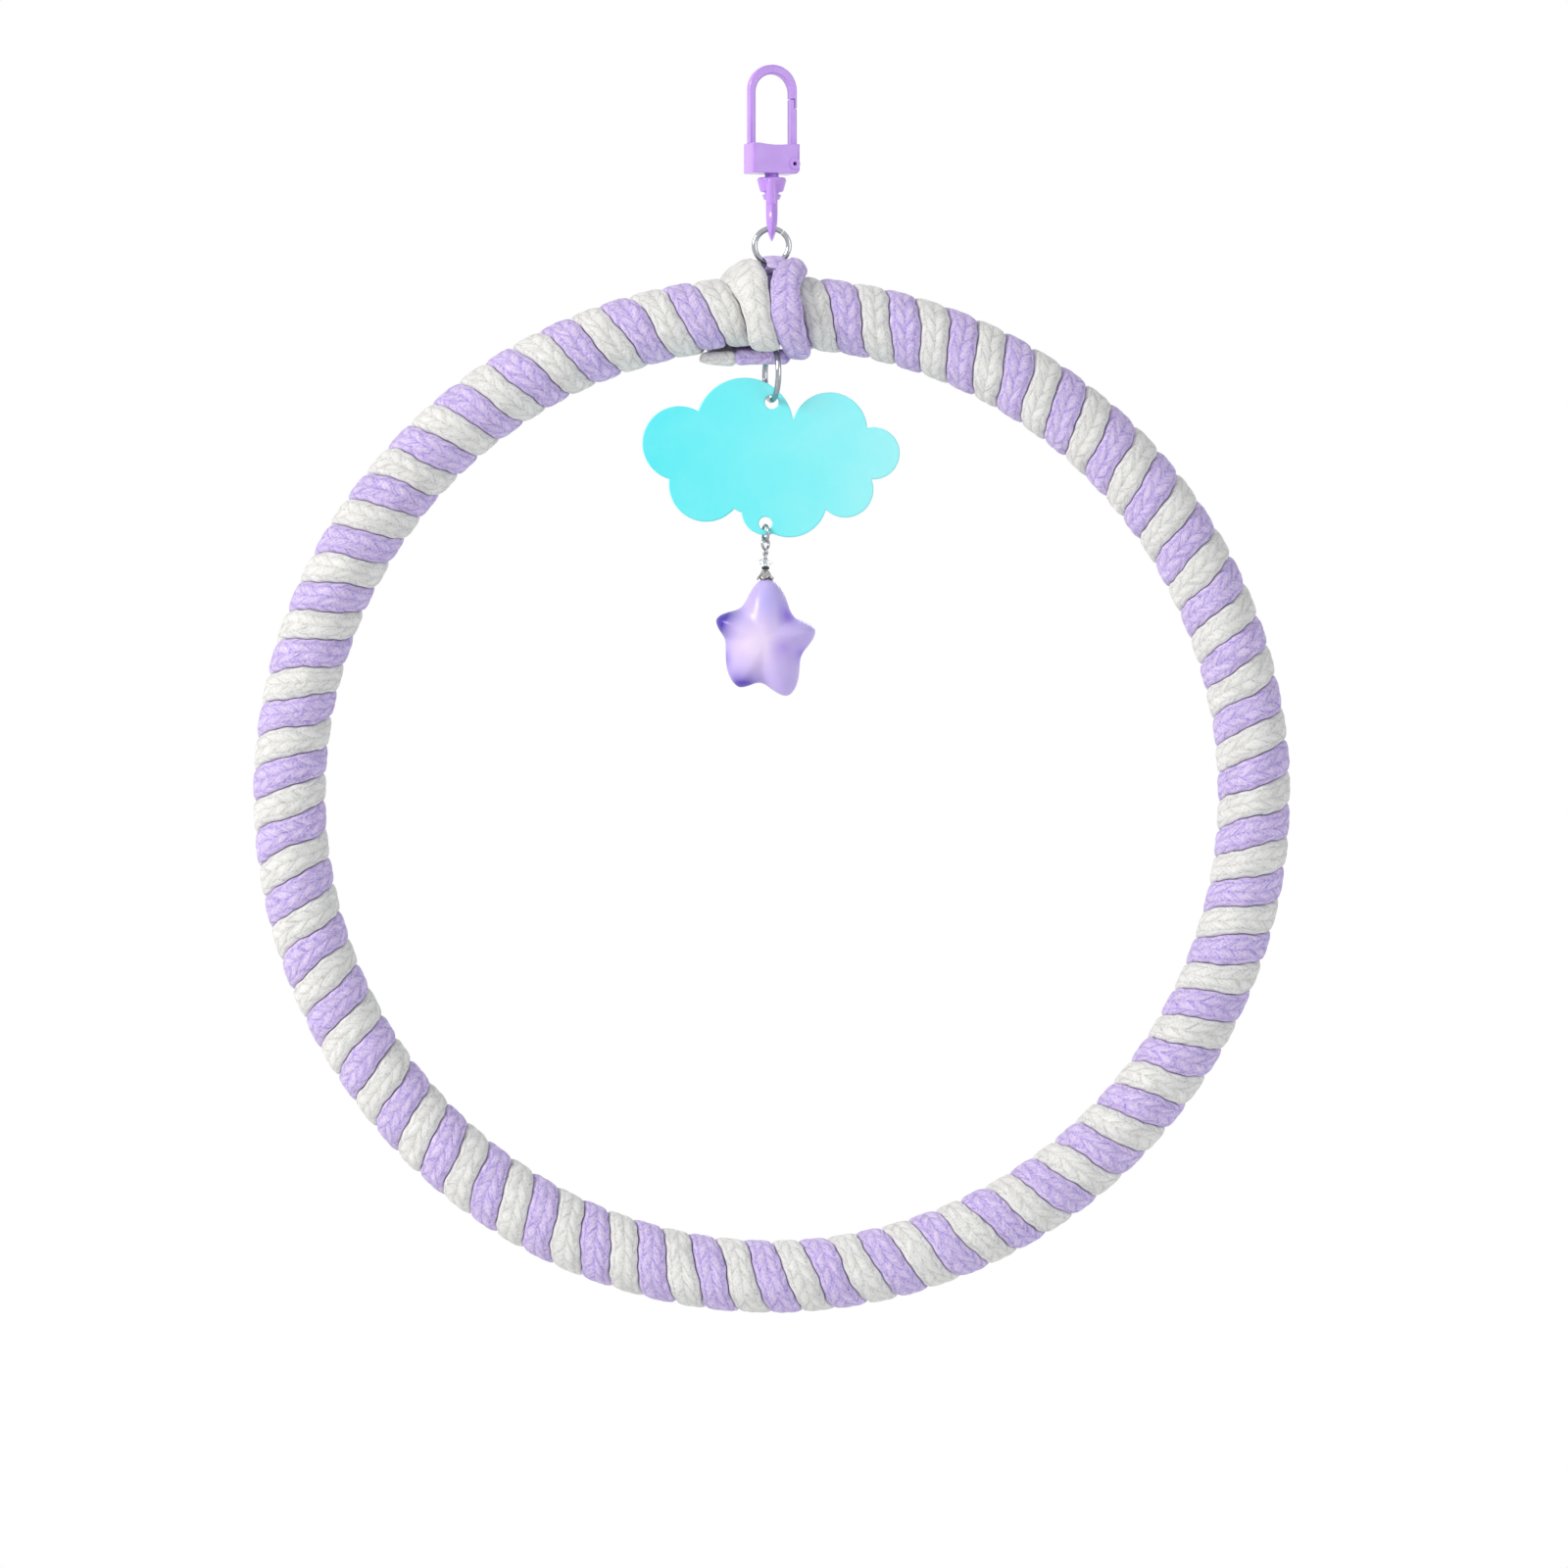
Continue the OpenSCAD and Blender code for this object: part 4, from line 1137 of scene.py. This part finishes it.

# %% [markdown]
# The star's colour carries painted light and shade. It is palest in the puffed middle, as
# painted light, and bluer in the top arm. Painted shade makes it deep violet at the tip of the
# left arm and by the lower left foot, with a little along the left side, in the two notches on
# the right and in the valley between them. Each tone is a soft ball, 1 at its centre and 0 at its
# rim, which is strengthened and held at 1.

# %% Pour the star's resin and paint its light and shade
# Each row: right, ahead and up from the star's middle, reach, all in mm, tint and strength.
BALL_GAIN = 1.6
STAR_PAINTED_SHADE_AND_LIGHT = (
    (-1.8, 4.6, -1.0, 9.5, (230, 213, 244), 1.0), (0.8, 4.0, 8.0, 5.5, (186, 178, 242), 0.7),
    (-10.4, 0.6, 4.6, 7.6, (78, 58, 174), 1.8), (-9.2, 0.0, -4.2, 4.8, (132, 110, 216), 1.1),
    (-4.6, 1.0, -9.9, 5.8, (100, 76, 190), 1.3), (4.6, 2.2, 5.0, 4.2, (158, 128, 236), 0.8),
    (3.6, 4.4, -2.2, 4.6, (190, 164, 240), 0.8), (7.2, 1.0, -3.0, 3.5, (156, 126, 230), 0.6))
tree, shader = uneven_finish(
    "pearly_resin", [star], (194, 177, 239), (203, 186, 242), (0.3, 0.38), 160, 0.03,
    {"Specular IOR Level": 0.3, "Coat Weight": 0.2, "Coat Roughness": 0.2,
     "Subsurface Weight": 0.2, "Subsurface Radius": (0.002, 0.0016, 0.003)})
star_place = object_place(tree)
colour = shader.inputs["Base Color"].links[0].from_socket
# Each ball mixes a painted shade, or in the middle a painted light, into the resin's colour.
for right, ahead, up, reach, tint, strength in STAR_PAINTED_SHADE_AND_LIGHT:
    centre = (STAR_X + right, -ahead, STAR_Z + up)
    ball = add_node(tree, "ShaderNodeMapping", {
        "Vector": star_place, "Location": [-c / reach for c in centre],
        "Scale": [1 / (reach * MM)] * 3})
    soft = add_node(tree, "ShaderNodeTexGradient", {"Vector": ball.outputs["Vector"]},
                    gradient_type="QUADRATIC_SPHERE")
    share = maths(tree, "MULTIPLY", soft.outputs["Fac"], BALL_GAIN * strength, use_clamp=True)
    mixed = add_node(tree, "ShaderNodeMix",
                     {"Factor": share, 6: colour, 7: screen_colour(*tint)}, data_type="RGBA")
    colour = mixed.outputs[2]
link(tree, colour, shader, "Base Color")
print("star has", len(STAR_PAINTED_SHADE_AND_LIGHT), "soft tones in its resin")

# %% [markdown]
# The cloud's dye: one soft gradient from the left end to the right, with the washed
# patches of a watercolour laid over it.

# %% Dye the cloud
tree, shader = finish_material("cloud_dye", cloud)
cloud_place = object_place(tree)
left_to_right = add_node(tree, "ShaderNodeSeparateXYZ", {0: cloud_place}).outputs["X"]
across = map_range(tree, left_to_right, (0.0, 1.0), (-0.027, 0.026))
wash = noise(tree, cloud_place, 75.0, 5.0, 0.62, 0.6)
tone = maths(tree, "ADD", across, maths(tree, "MULTIPLY_ADD", wash, 0.7, -0.35))
dye = ramp(tree, tone, [(0.0, (92, 234, 243)), (0.35, (116, 238, 244)), (0.65, (134, 240, 245)),
                        (1.0, (158, 242, 246))])
link(tree, dye, shader, "Base Color")
link(tree, map_range(tree, wash, (0.3, 0.45)), shader, "Roughness")
bump(tree, shader, wash, 0.25, 0.1)
set_sockets(shader, {"Specular IOR Level": 0.35})
print("cloud runs from deep cyan to pale over", round(CLOUD_W), "mm")

# %% [markdown]
# The studio
#
# The background is pure white to the camera, and so it is to metal and glass. Light on the
# object itself is plainer: an even, weak light from all round, one large warm lamp from the
# upper left, and two smaller, cooler ones from the right and from behind. A pale floor lies
# below the swing.

# %% White surroundings
world = bpy.data.worlds.new("white_studio")
bpy.context.scene.world = world
world.use_nodes = True
tree = world.node_tree
paths = add_node(tree, "ShaderNodeLightPath").outputs
seen = maths(tree, "MAXIMUM", paths["Is Camera Ray"], paths["Is Glossy Ray"])
seen = maths(tree, "MAXIMUM", seen, paths["Is Transmission Ray"])
background = tree.nodes["Background"]
link(tree, map_range(tree, seen, (0.5, 1.0)), background, "Strength")
background.inputs["Color"].default_value = (1, 1, 1, 1)


# %% Three soft lamps
def lamp(name, location, target, size, watts, colour):
    """A square soft lamp that faces its target: it tilts by the angle between straight down and
    the way to the target, and turns to the target's compass direction."""
    data = bpy.data.lights.new(name, "AREA")
    data.size, data.energy, data.color = size, watts, colour
    light = bpy.data.objects.new(name, data)
    x, y, z = np.array(target) - np.array(location)
    light.location = location
    light.rotation_euler = (math.atan2(math.hypot(x, y), -z), 0, math.atan2(x, -y) + math.pi)
    bpy.context.scene.collection.objects.link(light)
    print(name, watts, "W at", location)


WARM, COOL = (1.0, 0.975, 0.945), (0.92, 0.965, 1.0)
lamp("key_lamp", (-1.4, -0.78, 0.6), (0, 0, -0.12), 0.6, 21, WARM)
lamp("fill_lamp", (1.1, -1.0, 0.1), (0, 0, -0.14), 0.8, 4.5, COOL)
lamp("back_lamp", (0.3, 1.2, 0.6), (0, 0, -0.14), 0.8, 5, COOL)

# %% A pale floor
floor_outline = eased([(0.5, -421), (880, -421), (900, -420), (898, -419), (0.5, -419)], 1.0)
floor = bpy.data.objects.new("floor", tube_mesh("floor", spin(floor_outline, sides=96)))
bpy.context.scene.collection.objects.link(floor)
tree, shader = finish_material("pale_floor", floor)
mottle = noise(tree, object_place(tree), 6.0, 3.0)
pale = ramp(tree, mottle, [(0.3, (238, 238, 238)), (0.7, (244, 244, 244))])
link(tree, pale, shader, "Base Color")
set_sockets(shader, {"Roughness": 0.7})

bpy.context.scene.view_settings.view_transform = "Standard"
